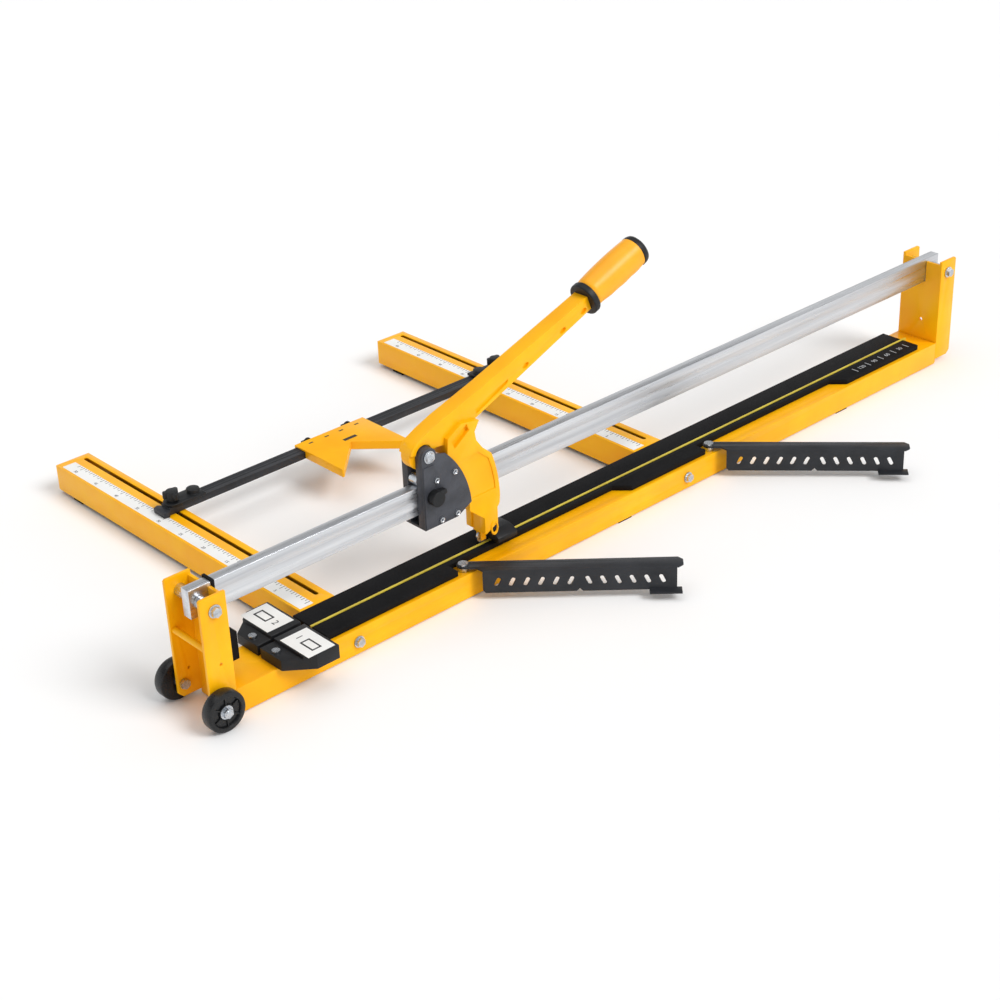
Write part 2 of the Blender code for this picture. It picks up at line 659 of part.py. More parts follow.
for side, x in slot_places.items():
    away = 1 if side == "left" else -1
    stud = (x + away * (CLAMP_LENGTH - 0.026), FENCE_CENTRE)
    half = FENCE_WIDTH / 2 + 0.003
    plate = arc((x, FENCE_CENTRE), half, 90, 270, 12)
    plate_end = x + CLAMP_LENGTH - 0.014
    plate += [(plate_end, FENCE_CENTRE - half), (plate_end, FENCE_CENTRE + half)]
    if away < 0:
        plate = [(2 * x - u, v) for u, v in reversed(plate)]
    piece(
        f"fence_clamp_{side}",
        outline(plate, (clamp_bottom, clamp_top)),
        plastic,
        joins=[rod("Z", stud, CLAMP_STUD_RADIUS, (clamp_top - 0.001, clamp_top + 0.006), 20)],
        cuts=[rod("Z", (x, FENCE_CENTRE), screw_hole, (clamp_bottom - 0.01, clamp_top + 0.01), 16)],
        origin=fence_origin,
    )
    knob_bottom = clamp_top + GAP
    nut_top = ARM_TOP - REAR_ARM_SHEET - GAP
    nut_bottom = nut_top - CLAMP_NUT_THICKNESS
    lobes = [
        rod(
            "Z",
            (x + KNOB_RADIUS * 0.72 * math.cos(a), FENCE_CENTRE + KNOB_RADIUS * 0.72 * math.sin(a)),
            KNOB_RADIUS * 0.36,
            (knob_bottom + 0.004, knob_bottom + KNOB_HEIGHT - 0.001),
            12,
        )
        for a in (math.radians(30 + 120 * i) for i in range(3))
    ]
    piece(
        f"fence_knob_{side}",
        rod("Z", (x, FENCE_CENTRE), KNOB_RADIUS * 0.72, (knob_bottom, knob_bottom + KNOB_HEIGHT), 20),
        plastic,
        joins=lobes
        + [rod("Z", (x, FENCE_CENTRE), CLAMP_SCREW_RADIUS, (nut_bottom - 0.004, knob_bottom + 0.002), 16)],
        origin=(x, FENCE_CENTRE, knob_bottom),
    )
    piece(
        f"clamp_nut_{side}",
        box((x - 0.008, x + 0.008), (FENCE_CENTRE - 0.008, FENCE_CENTRE + 0.008), (nut_bottom, nut_top)),
        zinc,
        cuts=[rod("Z", (x, FENCE_CENTRE), screw_hole, (nut_bottom - 0.01, nut_top + 0.01), 16)],
        origin=fence_origin,
    )

# Angle stop: a folded plate with a right-angled notch that slides along the fence bar
stop_low = ARM_TOP + 0.0015
stop_plate = FENCE_TOP + 0.0005
stop_high = stop_plate + ANGLE_STOP_SHEET
stop_left = ANGLE_STOP_CENTRE - ANGLE_STOP_WIDTH / 2
stop_right = ANGLE_STOP_CENTRE + ANGLE_STOP_WIDTH / 2
stop_tips = fence_front - ANGLE_STOP_REACH
stop_back = fence_back + 0.0005 + ANGLE_STOP_SHEET
notch_half = ANGLE_STOP_WIDTH / 2 - ANGLE_STOP_TIP
notch_top = stop_tips + notch_half
stop_shape = [
    (stop_left, stop_tips),
    (ANGLE_STOP_CENTRE - notch_half, stop_tips),
    (ANGLE_STOP_CENTRE, notch_top),
    (ANGLE_STOP_CENTRE + notch_half, stop_tips),
    (stop_right, stop_tips),
    (stop_right, stop_back),
    (stop_left, stop_back),
]
# The hollow below the plate leaves one sheet's thickness all round
hollow_top = notch_top + ANGLE_STOP_SHEET * math.sqrt(2)
hollow_half = ANGLE_STOP_WIDTH / 2 - ANGLE_STOP_SHEET
stop_hollow = [
    (ANGLE_STOP_CENTRE - hollow_half, hollow_top - hollow_half),
    (ANGLE_STOP_CENTRE, hollow_top),
    (ANGLE_STOP_CENTRE + hollow_half, hollow_top - hollow_half),
    (ANGLE_STOP_CENTRE + hollow_half, stop_back - ANGLE_STOP_SHEET),
    (ANGLE_STOP_CENTRE - hollow_half, stop_back - ANGLE_STOP_SHEET),
]
thumb_z = (stop_low + stop_plate) / 2 + 0.001
thumb_places = {"left": ANGLE_STOP_CENTRE - THUMB_SPREAD, "right": ANGLE_STOP_CENTRE + THUMB_SPREAD}
piece(
    "angle_stop",
    outline(stop_shape, (stop_low, stop_high)),
    yellow,
    cuts=[
        outline(stop_hollow, (stop_low - 0.01, stop_plate)),
        box(
            (stop_left - 0.01, stop_right + 0.01),
            (fence_front - 0.0005, fence_back + 0.0005),
            (stop_low - 0.01, stop_plate),
        ),
    ]
    + [
        rod("Y", (x, thumb_z), 0.0026, (fence_back - 0.002, stop_back + 0.01), 12)
        for x in thumb_places.values()
    ],
    origin=(ANGLE_STOP_CENTRE, FENCE_CENTRE, stop_plate),
)
for side, x in thumb_places.items():
    head_start = stop_back + 0.0025
    piece(
        f"stop_screw_{side}",
        rod("Y", (x, thumb_z), 0.0022, (fence_back + GAP, head_start + 0.002), 12),
        plastic,
        joins=[
            rod("Y", (x, thumb_z), THUMB_RADIUS, (head_start, head_start + 0.003), 16),
            box(
                (x - 0.006, x + 0.006),
                (head_start + 0.001, head_start + 0.009),
                (thumb_z - 0.0015, thumb_z + 0.0015),
            ),
        ],
        origin=(x, stop_back, thumb_z),
    )

# Side support arms: an angle section that swings about a bolt on the base and folds against its front
arm_top = PAD_TOP
web_bottom = arm_top - SIDE_ARM_HEIGHT
for side, x in SIDE_ARM_PIVOTS.items():
    end = SIDE_ARM_LENGTH
    flange = (
        arc((0, 0), SIDE_ARM_BACK, 90, 270, 10)
        + [
            (SIDE_ARM_WEB_START - 0.008, -SIDE_ARM_BACK),
            (SIDE_ARM_WEB_START, -SIDE_ARM_FRONT),
            (end - 0.006, -SIDE_ARM_FRONT),
            (end, -SIDE_ARM_FRONT + 0.006),
            (end, SIDE_ARM_BACK - 0.006),
            (end - 0.006, SIDE_ARM_BACK),
        ]
    )
    middle = (SIDE_ARM_WEB_START + end) / 2 - 0.004
    web_edge = [
        (SIDE_ARM_WEB_START, arm_top - 0.0005),
        (SIDE_ARM_WEB_START, web_bottom + 0.004),
        (SIDE_ARM_WEB_START + 0.003, web_bottom),
        (middle - 0.004, web_bottom),
        (middle, web_bottom + 0.004),
        (middle + 0.004, web_bottom),
        (end - 0.008, web_bottom),
        (end - 0.008, arm_top - 0.0005),
    ]
    web = outline(web_edge, (-SIDE_ARM_FRONT, -SIDE_ARM_FRONT + SIDE_ARM_SHEET), "XZ")
    lip = box(
        (end - 0.042, end - 0.002),
        (-SIDE_ARM_FRONT - SIDE_ARM_LIP, -SIDE_ARM_FRONT + SIDE_ARM_SHEET),
        (web_bottom, web_bottom + SIDE_ARM_SHEET),
    )
    slot_z = (arm_top + web_bottom) / 2 - 0.001
    slots = []
    for i in range(SIDE_ARM_SLOTS):
        from_middle = i - (SIDE_ARM_SLOTS - 1) / 2
        slot_x = middle + from_middle * SIDE_ARM_SLOT_PITCH + math.copysign(0.002, from_middle)
        half = SIDE_ARM_SLOT_LENGTH / 2 - SIDE_ARM_SLOT_WIDTH / 2
        radius = SIDE_ARM_SLOT_WIDTH / 2
        shape = arc((0, half), radius, 0, 180, 6) + arc((0, -half), radius, 180, 360, 6)
        slot = outline(shape, (-SIDE_ARM_FRONT - 0.005, -SIDE_ARM_FRONT + 0.005), "XZ")
        lean = math.copysign(SIDE_ARM_SLOT_LEAN, -from_middle)
        slot.data.transform(Matrix.Rotation(math.radians(lean), 4, "Y"))
        slot.data.transform(Matrix.Translation((slot_x, 0, slot_z)))
        slots.append(slot)
    piece(
        f"{side}_side_arm",
        outline(flange, (arm_top - SIDE_ARM_SHEET, arm_top)),
        black_paint,
        joins=[web, lip],
        cuts=slots + [rod("Z", (0, 0), AXLE_RADIUS + BOLT_PLAY, (arm_top - 0.01, arm_top + 0.01), 16)],
        origin=(x, SIDE_ARM_PIVOT_Y, 0),
        turn=SIDE_ARM_ANGLES[side],
    )
    centre = (x, SIDE_ARM_PIVOT_Y)
    piece(
        f"{side}_side_arm_bolt",
        rod("Z", centre, AXLE_RADIUS, (BASE_TOP - 0.009, arm_top + 0.001), 16),
        zinc,
        joins=[
            rod("Z", centre, 0.0065, (arm_top + GAP, arm_top + 0.0025), 20),
            rod("Z", centre, 0.0065, (BASE_TOP + GAP, arm_top - SIDE_ARM_SHEET - GAP), 20),
            rod("Z", centre, 0.0065, (BASE_TOP - 0.008, BASE_TOP - BASE_SHEET - GAP), 6),
        ],
    )

# Carriage: two cheeks beside the rail, joined below it, with two rollers above the rail and one below
cheek_left = PIVOT_X - CHEEK_WIDTH / 2
cheek_right = PIVOT_X + CHEEK_WIDTH / 2
wing_centre = (WING_CENTRE_X, WING_CENTRE_Z)
wing_start = math.degrees(math.asin((CHEEK_BOTTOM + 0.012 - WING_CENTRE_Z) / WING_RADIUS))
wing_end = math.degrees(math.asin((WING_DROP - 0.004) / WING_RADIUS))
cheek_top = arc((PIVOT_X, PIVOT_Z), CHEEK_WIDTH / 2, 0, 180, 12)
cheek = cheek_top + [
    (cheek_left, CHEEK_BOTTOM),
    (PIVOT_X + 0.034, CHEEK_BOTTOM),
    (PIVOT_X + 0.038, CHEEK_BOTTOM + 0.006),
    (PIVOT_X + 0.036, RAIL_TOP - 0.007),
    (PIVOT_X + 0.030, RAIL_TOP + 0.012),
    (PIVOT_X + 0.024, RAIL_TOP + 0.019),
    (cheek_right, PIVOT_Z - 0.012),
]
wing = (
    cheek_top
    + [
        (cheek_left, CHEEK_BOTTOM),
        (cheek_right + 0.030, CHEEK_BOTTOM),
        (cheek_right + 0.037, CHEEK_BOTTOM + 0.004),
    ]
    + arc(wing_centre, WING_RADIUS, wing_start, wing_end, 16)
)
top_roller_z = RAIL_TOP + GAP + TOP_ROLLER_RADIUS
low_roller_z = RAIL_BOTTOM - GAP - LOW_ROLLER_RADIUS
rollers = {
    "roller_top_left": (PIVOT_X - 0.003, top_roller_z, TOP_ROLLER_RADIUS),
    "roller_top_right": (PIVOT_X + 0.022, top_roller_z, TOP_ROLLER_RADIUS),
    "roller_below": (PIVOT_X + 0.010, low_roller_z, LOW_ROLLER_RADIUS),
}
pin_reach = CHEEK_INNER + 0.003
pins = [rod("Y", (x, z), ROLLER_PIN_RADIUS, (-pin_reach, pin_reach), 12) for x, z, _ in rollers.values()]
carriage_origin = (PIVOT_X, 0, RAIL_MIDDLE)
bridge_reach = CHEEK_INNER + 0.002
piece(
    "carriage_body",
    outline(cheek, (-CHEEK_OUTER, -CHEEK_INNER), "XZ"),
    casting,
    joins=[
        outline(cheek, (CHEEK_INNER, CHEEK_OUTER), "XZ"),
        box(
            (cheek_left, PIVOT_X + 0.034),
            (-bridge_reach, bridge_reach),
            (CHEEK_BOTTOM, CHEEK_BOTTOM + 0.003),
        ),
    ]
    + pins,
    cuts=[rod("Y", (PIVOT_X, PIVOT_Z), PIVOT_RADIUS + BOLT_PLAY, (-0.03, 0.03), 20)],
    origin=carriage_origin,
)
for name, (x, z, radius) in rollers.items():
    piece(
        name,
        rod("Y", (x, z), radius, (-RAIL_WIDTH / 2, RAIL_WIDTH / 2), 28),
        zinc,
        cuts=[rod("Y", (x, z), ROLLER_PIN_RADIUS + BOLT_PLAY, (-0.02, 0.02), 12)],
        origin=(x, 0, z),
    )
cover_back = -CHEEK_OUTER - GAP
cover_front = cover_back - COVER_THICKNESS
# Places of the cover's screws, ahead of the pivot and below it
cover_screws = [(0.009, 0.034), (0.038, 0.033), (0.039, 0.0895), (0.014, 0.0895)]
piece(
    "carriage_cover",
    outline(wing, (cover_front, cover_back), "XZ"),
    casting,
    joins=[
        rod("Y", (PIVOT_X + ahead, PIVOT_Z - below), 0.0038, (cover_front - 0.0022, cover_front + 0.0005), 6)
        for ahead, below in cover_screws
    ],
    cuts=[
        rod("Y", (PIVOT_X, PIVOT_Z), PIVOT_RADIUS + BOLT_PLAY, (-0.03, 0.0), 20),
        rod("Y", (ADJUSTER_X, ADJUSTER_Z), 0.0043, (-0.03, 0.0), 16),
    ],
    origin=carriage_origin,
)
knob_back = cover_front - GAP
pointer_tip = [
    (ADJUSTER_X, ADJUSTER_Z - 0.006),
    (ADJUSTER_X + 0.017, ADJUSTER_Z + 0.002),
    (ADJUSTER_X + 0.016, ADJUSTER_Z + 0.007),
    (ADJUSTER_X, ADJUSTER_Z + 0.009),
]
piece(
    "adjusting_knob",
    rod("Y", (ADJUSTER_X, ADJUSTER_Z), ADJUSTER_RADIUS, (knob_back - 0.011, knob_back), 24),
    plastic,
    joins=[
        outline(pointer_tip, (knob_back - 0.007, knob_back), "XZ"),
        rod("Y", (ADJUSTER_X, ADJUSTER_Z), 0.004, (knob_back - 0.001, -CHEEK_OUTER - GAP), 16),
    ],
    origin=(ADJUSTER_X, knob_back, ADJUSTER_Z),
)
bolt(
    "pivot_bolt", "Y", (PIVOT_X, PIVOT_Z), PIVOT_RADIUS, (cover_front, CHEEK_OUTER),
    head=0.0065, height=0.003, origin=carriage_origin,
)

# Lever: a boss between the cheeks, a long shaft, and a fork that reaches round the rail to the scoring wheel
along = Vector((math.cos(math.radians(LEVER_ANGLE)), math.sin(math.radians(LEVER_ANGLE))))
upward = Vector((-along.y, along.x))
pivot = Vector((PIVOT_X, PIVOT_Z))


def beside(distance, height):
    """A point in the XZ plane, from its distance along the shaft and its height above the shaft's middle."""
    point = pivot + along * distance + upward * height
    return (point.x, point.y)


# The shaft is as wide as it is beyond the cheeks, and hollowed round their rounded tops
cheek_room = CHEEK_WIDTH / 2 + 0.0015
shaft = (
    [
        beside(0.037, -LEVER_ROOT_HEIGHT / 2),
        beside(LEVER_SHAFT_END, -LEVER_TIP_HEIGHT / 2),
        beside(LEVER_SHAFT_END, LEVER_TIP_HEIGHT / 2),
        beside(0.110, LEVER_ROOT_HEIGHT / 2 + 0.003),
        beside(0.040, LEVER_ROOT_HEIGHT / 2 + 0.008),
        beside(0.014, LEVER_ROOT_HEIGHT / 2 + 0.008),
    ]
    + arc(pivot, BOSS_RADIUS, LEVER_ANGLE + 95, 168, 4)
    + arc(pivot, cheek_room, 168, 14, 12)
)
neck = [beside(0, -0.008), beside(0.050, -0.009), beside(0.050, 0.014), beside(0, 0.0195)]
fork_inner = WING_RADIUS - FORK_TUCK
fork_outer = fork_inner + FORK_BAND
nose_left = PIVOT_X + NOSE_START
nose_right = nose_left + NOSE_LENGTH
nose_bottom = PAD_TOP + NOSE_LIFT
bridge_top = nose_bottom + 0.032
bridge_bottom = bridge_top - 0.007
fork = (
    [
        (nose_left, bridge_bottom - 0.002),
        (nose_left, nose_bottom + 0.0015),
        (nose_left + 0.0015, nose_bottom),
        (nose_right, nose_bottom + NOSE_SLOPE),
        (nose_right, bridge_top - 0.001),
        (nose_right + 0.004, bridge_top + 0.004),
    ]
    + arc(wing_centre, fork_outer, 0, 21, 8)
    + [
        beside(0.0735, -0.050),
        beside(0.0695, -0.034),
        beside(0.0720, -0.022),
        beside(0.0840, -0.013),
        beside(0.060, 0.002),
        beside(0.034, -0.002),
    ]
    + arc(wing_centre, fork_inner, 42, -2, 12)
)
foot_pin_z = nose_bottom + NOSE_SLOPE + 0.0055
# The two arms stand apart beside the rail, and the nose is open below and behind for the wheel's holder
wheel_wall = 0.005
wheel_x = nose_right - wheel_wall - SCORING_WHEEL_RADIUS - 0.0005
wheel_centre = (wheel_x, PAD_TOP + SCORING_WHEEL_LIFT + SCORING_WHEEL_RADIUS)
slot_reach = (WING_CENTRE_X, WING_CENTRE_X + fork_outer + 0.02)
rail_room = box(slot_reach, (-FORK_INNER, FORK_INNER), (bridge_top, RAIL_TOP + 0.0175))
wheel_room = box(
    (nose_left - 0.01, nose_right - wheel_wall),
    (-FORK_INNER, FORK_INNER),
    (nose_bottom - 0.02, bridge_bottom),
)
lever_origin = (PIVOT_X, 0, PIVOT_Z)
shaft_tip = beside(LEVER_SHAFT_END, 0)
spigot = rod("X", (0, 0), SPIGOT_RADIUS, (0, SPIGOT_LENGTH + 0.004), 20)
spigot.data.transform(
    Matrix.Translation((shaft_tip[0], 0, shaft_tip[1]))
    @ Matrix.Rotation(math.radians(-LEVER_ANGLE), 4, "Y")
    @ Matrix.Translation((-0.004, 0, 0))
)
piece(
    "lever",
    outline(shaft, (-LEVER_HALF_WIDTH, LEVER_HALF_WIDTH), "XZ"),
    yellow,
    joins=[
        outline(neck, (-BOSS_HALF_WIDTH, BOSS_HALF_WIDTH), "XZ"),
        rod("Y", (PIVOT_X, PIVOT_Z), BOSS_RADIUS, (-BOSS_HALF_WIDTH, BOSS_HALF_WIDTH), 36),
        outline(fork, (-FORK_OUTER, FORK_OUTER), "XZ"),
        spigot,
    ],
    cuts=[
        rail_room,
        wheel_room,
        rod("Y", (PIVOT_X, PIVOT_Z), PIVOT_RADIUS + BOLT_PLAY, (-0.03, 0.03), 20),
        rod("X", (0, foot_pin_z), FOOT_PIN_RADIUS + BOLT_PLAY, (nose_right - 0.01, nose_right + 0.02), 16),
    ],
    origin=lever_origin,
)


def on_shaft(profile, rise=0.0, steps=28):
    """A turned solid from points (distance from the pivot, radius), with its line rise above the shaft's."""
    bm = bmesh.new()
    rings = [bm.verts.new((distance, 0, radius)) for distance, radius in profile]
    for first, second in zip(rings, rings[1:] + rings[:1]):
        if first.co.z or second.co.z:
            bm.edges.new((first, second))
    bmesh.ops.spin(
        bm, geom=bm.verts[:] + bm.edges[:], cent=(0, 0, 0), axis=(1, 0, 0), angle=math.tau, steps=steps,
        use_merge=True,
    )
    bmesh.ops.remove_doubles(bm, verts=bm.verts, dist=1e-6)
    tilt = Matrix.Rotation(math.radians(-LEVER_ANGLE), 4, "Y")
    bm.transform(Matrix.Translation((PIVOT_X, 0, PIVOT_Z)) @ tilt @ Matrix.Translation((0, 0, rise)))
    return from_bmesh("turned", bm, smooth=True)


bore = SPIGOT_RADIUS + GAP
collar_start = LEVER_SHAFT_END + GAP
collar_end = collar_start + COLLAR_LENGTH
piece(
    "grip_collar",
    on_shaft([
        (collar_start, bore),
        (collar_end, bore),
        (collar_end, COLLAR_RADIUS - 0.001),
        (collar_end - 0.001, COLLAR_RADIUS),
        (collar_start + 0.001, COLLAR_RADIUS),
        (collar_start, COLLAR_RADIUS - 0.001),
    ]),
    plastic,
    origin=lever_origin,
)
grip_start = collar_end + GAP
grip_end = grip_start + GRIP_LENGTH
bore_end = LEVER_SHAFT_END + SPIGOT_LENGTH + 0.002
piece(
    "grip",
    on_shaft(
        [
            (grip_start, 0),
            (grip_start, GRIP_RADIUS - 0.005),
            (grip_start + 0.012, GRIP_RADIUS - 0.0025),
            (grip_start + 0.3 * GRIP_LENGTH, GRIP_RADIUS - 0.0005),
            (grip_start + 0.5 * GRIP_LENGTH, GRIP_RADIUS),
            (grip_start + 0.8 * GRIP_LENGTH, GRIP_RADIUS - 0.0008),
            (grip_end - 0.003, GRIP_RADIUS - 0.0015),
            (grip_end, GRIP_RADIUS - 0.0045),
            (grip_end, 0),
        ],
        rise=GRIP_RISE,
    ),
    yellow,
    cuts=[on_shaft([(grip_start - 0.01, 0), (grip_start - 0.01, bore), (bore_end, bore), (bore_end, 0)])],
    origin=lever_origin,
)

# Scoring wheel, and the holder in the fork's nose that carries it between two legs
half_wheel = SCORING_WHEEL_WIDTH / 2
piece(
    "scoring_wheel",
    rod("Y", wheel_centre, SCORING_WHEEL_RADIUS, (-half_wheel, half_wheel), 36),
    zinc,
    cuts=[rod("Y", wheel_centre, SCORING_PIN_RADIUS + BOLT_PLAY, (-0.02, 0.02), 16)],
    origin=(wheel_centre[0], 0, wheel_centre[1]),
)
holder_top = bridge_bottom - GAP
holder_block = wheel_centre[1] + SCORING_WHEEL_RADIUS + 0.001
leg_inner = half_wheel + GAP
leg_outer = leg_inner + 0.0025
legs = [
    box((wheel_x - 0.004, wheel_x + 0.004), span, (wheel_centre[1] - 0.004, holder_block + 0.001))
    for span in ((-leg_outer, -leg_inner), (leg_inner, leg_outer))
]
piece(
    "wheel_holder",
    box(
        (wheel_x - 0.006, nose_right - wheel_wall - GAP),
        (-FORK_INNER + GAP, FORK_INNER - GAP),
        (holder_block, holder_top),
    ),
    yellow,
    joins=legs + [rod("Y", wheel_centre, SCORING_PIN_RADIUS, (-leg_outer - 0.001, leg_outer + 0.001), 16)],
    origin=lever_origin,
)

# Breaking foot: a low block under the nose with an ear that a pin holds to the nose's front wall
foot_bottom = PAD_TOP + FOOT_LIFT
foot_start = wheel_x + SCORING_WHEEL_RADIUS + 0.001
foot_end = foot_start + FOOT_LENGTH
foot_shape = [
    (-FOOT_HALF_WIDTH, foot_bottom),
    (FOOT_HALF_WIDTH, foot_bottom),
    (FOOT_HALF_WIDTH, foot_bottom + 0.006),
    (FOOT_HALF_WIDTH - 0.004, foot_bottom + 0.009),
    (0.009, foot_bottom + 0.013),
    (-0.009, foot_bottom + 0.013),
    (-FOOT_HALF_WIDTH + 0.004, foot_bottom + 0.009),
    (-FOOT_HALF_WIDTH, foot_bottom + 0.006),
]
ear_start = nose_right + GAP
ear_end = ear_start + 0.006
piece(
    "breaking_foot",
    outline(foot_shape, (foot_start, foot_end), "YZ"),
    plastic,
    joins=[box((ear_start, ear_end), (-0.008, 0.008), (foot_bottom + 0.005, foot_pin_z + 0.006))],
    cuts=[rod("X", (0, foot_pin_z), FOOT_PIN_RADIUS + BOLT_PLAY, (ear_start - 0.01, ear_end + 0.01), 16)],
    origin=(ear_start, 0, foot_pin_z),
)
piece(
    "foot_pin",
    rod("X", (0, foot_pin_z), FOOT_PIN_RADIUS, (nose_right - wheel_wall + 0.0005, ear_end + 0.001), 16),
    zinc,
    joins=[rod("X", (0, foot_pin_z), 0.005, (ear_end + GAP, ear_end + 0.0025), 20)],
    origin=lever_origin,
)
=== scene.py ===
"""The looks of a manual tile cutter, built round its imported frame, in the order it is put together."""

import json
import math

import bmesh
import bpy
from mathutils import Euler, Matrix, Vector


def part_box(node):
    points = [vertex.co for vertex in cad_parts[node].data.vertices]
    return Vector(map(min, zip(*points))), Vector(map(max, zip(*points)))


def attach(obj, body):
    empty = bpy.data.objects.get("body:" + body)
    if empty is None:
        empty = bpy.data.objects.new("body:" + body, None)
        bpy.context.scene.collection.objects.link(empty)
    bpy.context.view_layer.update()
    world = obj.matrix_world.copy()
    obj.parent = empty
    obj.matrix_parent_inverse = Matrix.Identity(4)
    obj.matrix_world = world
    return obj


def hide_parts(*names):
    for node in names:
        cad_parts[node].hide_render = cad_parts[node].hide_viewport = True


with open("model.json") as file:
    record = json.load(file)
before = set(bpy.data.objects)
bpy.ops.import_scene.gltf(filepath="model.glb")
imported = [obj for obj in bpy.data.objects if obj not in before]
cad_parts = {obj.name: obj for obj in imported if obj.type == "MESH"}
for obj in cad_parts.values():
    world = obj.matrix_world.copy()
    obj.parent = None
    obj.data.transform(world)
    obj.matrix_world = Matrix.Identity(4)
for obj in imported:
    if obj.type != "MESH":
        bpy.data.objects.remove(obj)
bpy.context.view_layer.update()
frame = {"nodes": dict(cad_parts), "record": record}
nodes = frame["nodes"]


# Base beam, end brackets, carry bar and rear arms: folded steel sheet, powder coated amber.
# The arms and brackets are bolted to the beam. The coat is baked on, which leaves a fine ripple like
# orange peel: the eye gets a soft, slightly broken shine over a nearly even colour.
def linear(colour):
    """An sRGB hex colour as linear RGBA."""
    shares = [int(colour[i : i + 2], 16) / 255 for i in (1, 3, 5)]
    return [c / 12.92 if c <= 0.04045 else ((c + 0.055) / 1.055) ** 2.4 for c in shares] + [1.0]


def add(material, kind, settings=(), links=()):
    """Adds a shader node: settings go by name or socket, and each link is (input, source, output)."""
    node = material.node_tree.nodes.new(kind)
    for name, value in dict(settings).items():
        if isinstance(name, str) and hasattr(node, name):
            setattr(node, name, value)
        else:
            node.inputs[name].default_value = value
    for socket, source, output in links:
        material.node_tree.links.new(source.outputs[output], node.inputs[socket])
    return node


def finish(name, base, roughness, metallic=0.0, **settings):
    """A new material with its shader's own sockets set; base is an sRGB hex colour."""
    made = bpy.data.materials.new(name)
    made.use_nodes = True
    shader = made.node_tree.nodes["Principled BSDF"]
    shader.inputs["Base Color"].default_value = linear(base)
    shader.inputs["Roughness"].default_value = roughness
    shader.inputs["Metallic"].default_value = metallic
    for socket, value in settings.items():
        shader.inputs[socket.replace("_", " ")].default_value = value
    return made, shader


def surface(made, shader, light, dark, grain_mm, rough, relief_mm, stretch=(1, 1, 1), cloud_mm=60.0):
    """Gives a finish cloudy colour, uneven gloss and grain: sizes in millimetres, rough as (least, most)."""
    where = add(made, "ShaderNodeTexCoord")
    spread = add(made, "ShaderNodeMapping", {"Scale": stretch}, [("Vector", where, "Object")])
    cloud = add(
        made,
        "ShaderNodeTexNoise",
        {"Scale": 1000 / cloud_mm, "Detail": 3.0, "Roughness": 0.55},
        [("Vector", spread, 0)],
    )
    grain = add(
        made,
        "ShaderNodeTexNoise",
        {"Scale": 1000 / grain_mm, "Detail": 2.0, "Roughness": 0.6},
        [("Vector", spread, 0)],
    )
    tint = add(made, "ShaderNodeValToRGB", {}, [("Fac", cloud, "Fac")])
    tint.color_ramp.elements[0].position = 0.3
    tint.color_ramp.elements[1].position = 0.7
    tint.color_ramp.elements[0].color = linear(dark)
    tint.color_ramp.elements[1].color = linear(light)
    gloss = add(
        made,
        "ShaderNodeMapRange",
        {"From Min": 0.3, "From Max": 0.7, "To Min": rough[0], "To Max": rough[1]},
        [("Value", grain, "Fac")],
    )
    bump = add(
        made, "ShaderNodeBump", {"Strength": 1.0, "Distance": relief_mm / 1000}, [("Height", grain, "Fac")]
    )
    tree = made.node_tree
    tree.links.new(tint.outputs["Color"], shader.inputs["Base Color"])
    tree.links.new(gloss.outputs["Result"], shader.inputs["Roughness"])
    tree.links.new(bump.outputs["Normal"], shader.inputs["Normal"])


def dress(piece, material):
    """Gives a piece that one material."""
    piece.data.materials.clear()
    piece.data.materials.append(material)


def baked(obj, name):
    """A new object from obj with its modifiers applied; obj goes."""
    graph = bpy.context.evaluated_depsgraph_get()
    mesh = bpy.data.meshes.new_from_object(obj.evaluated_get(graph))
    made = bpy.data.objects.new(name, mesh)
    mesh.name = name
    made.matrix_world = obj.matrix_world.copy()
    bpy.context.scene.collection.objects.link(made)
    bpy.data.objects.remove(obj, do_unlink=True)
    return made


WELD = 2e-5
FLAT = 0.5  # degrees between faces that are one
CREASE = 32  # degrees, past which an edge stays sharp
EDGE = 35  # degrees, past which an edge is softened


def remake(node, name, material, bevel_mm=0.6, cuts=(), segments=2):
    """The node's shape again with softened edges and with cuts taken out, in place of the node itself."""
    copy = bpy.data.objects.new(name, nodes[node].data.copy())
    bpy.context.scene.collection.objects.link(copy)
    bm = bmesh.new()
    bm.from_mesh(copy.data)
    bmesh.ops.remove_doubles(bm, verts=bm.verts, dist=WELD)
    bmesh.ops.dissolve_limit(bm, angle_limit=math.radians(FLAT), verts=bm.verts, edges=bm.edges)
    bm.to_mesh(copy.data)
    bm.free()
    for tool in cuts:
        cut = copy.modifiers.new("cut", "BOOLEAN")
        cut.operation = "DIFFERENCE"
        cut.solver = "EXACT"
        cut.object = tool
    soften = copy.modifiers.new("soften", "BEVEL")
    soften.width = bevel_mm / 1000
    soften.segments = segments
    soften.limit_method = "ANGLE"
    soften.angle_limit = math.radians(EDGE)
    made = baked(copy, name)
    for tool in cuts:
        bpy.data.objects.remove(tool, do_unlink=True)
    made.data.shade_smooth()
    made.data.set_sharp_from_angle(angle=math.radians(CREASE))
    dress(made, material)
    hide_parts(node)
    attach(made, body_of[node])


bodies = frame["record"]["behaviour"]["bodies"]
body_of = {node: body for body, group in bodies.items() for node in group}

AMBER_LIGHT = "#FFBC06"
AMBER_DARK = "#FCAE03"
amber_coat, shader = finish("amber_powder_coat", AMBER_LIGHT, 0.34, Specular_IOR_Level=0.28)
surface(amber_coat, shader, AMBER_LIGHT, AMBER_DARK, grain_mm=2.2, rough=(0.28, 0.40), relief_mm=0.05)
for node in ("base_beam", "left_bracket", "right_bracket", "left_rear_arm", "right_rear_arm"):
    remake(node, f"{node}_sheet", amber_coat, bevel_mm=0.9, segments=3)
dress(nodes["carry_bar"], amber_coat)


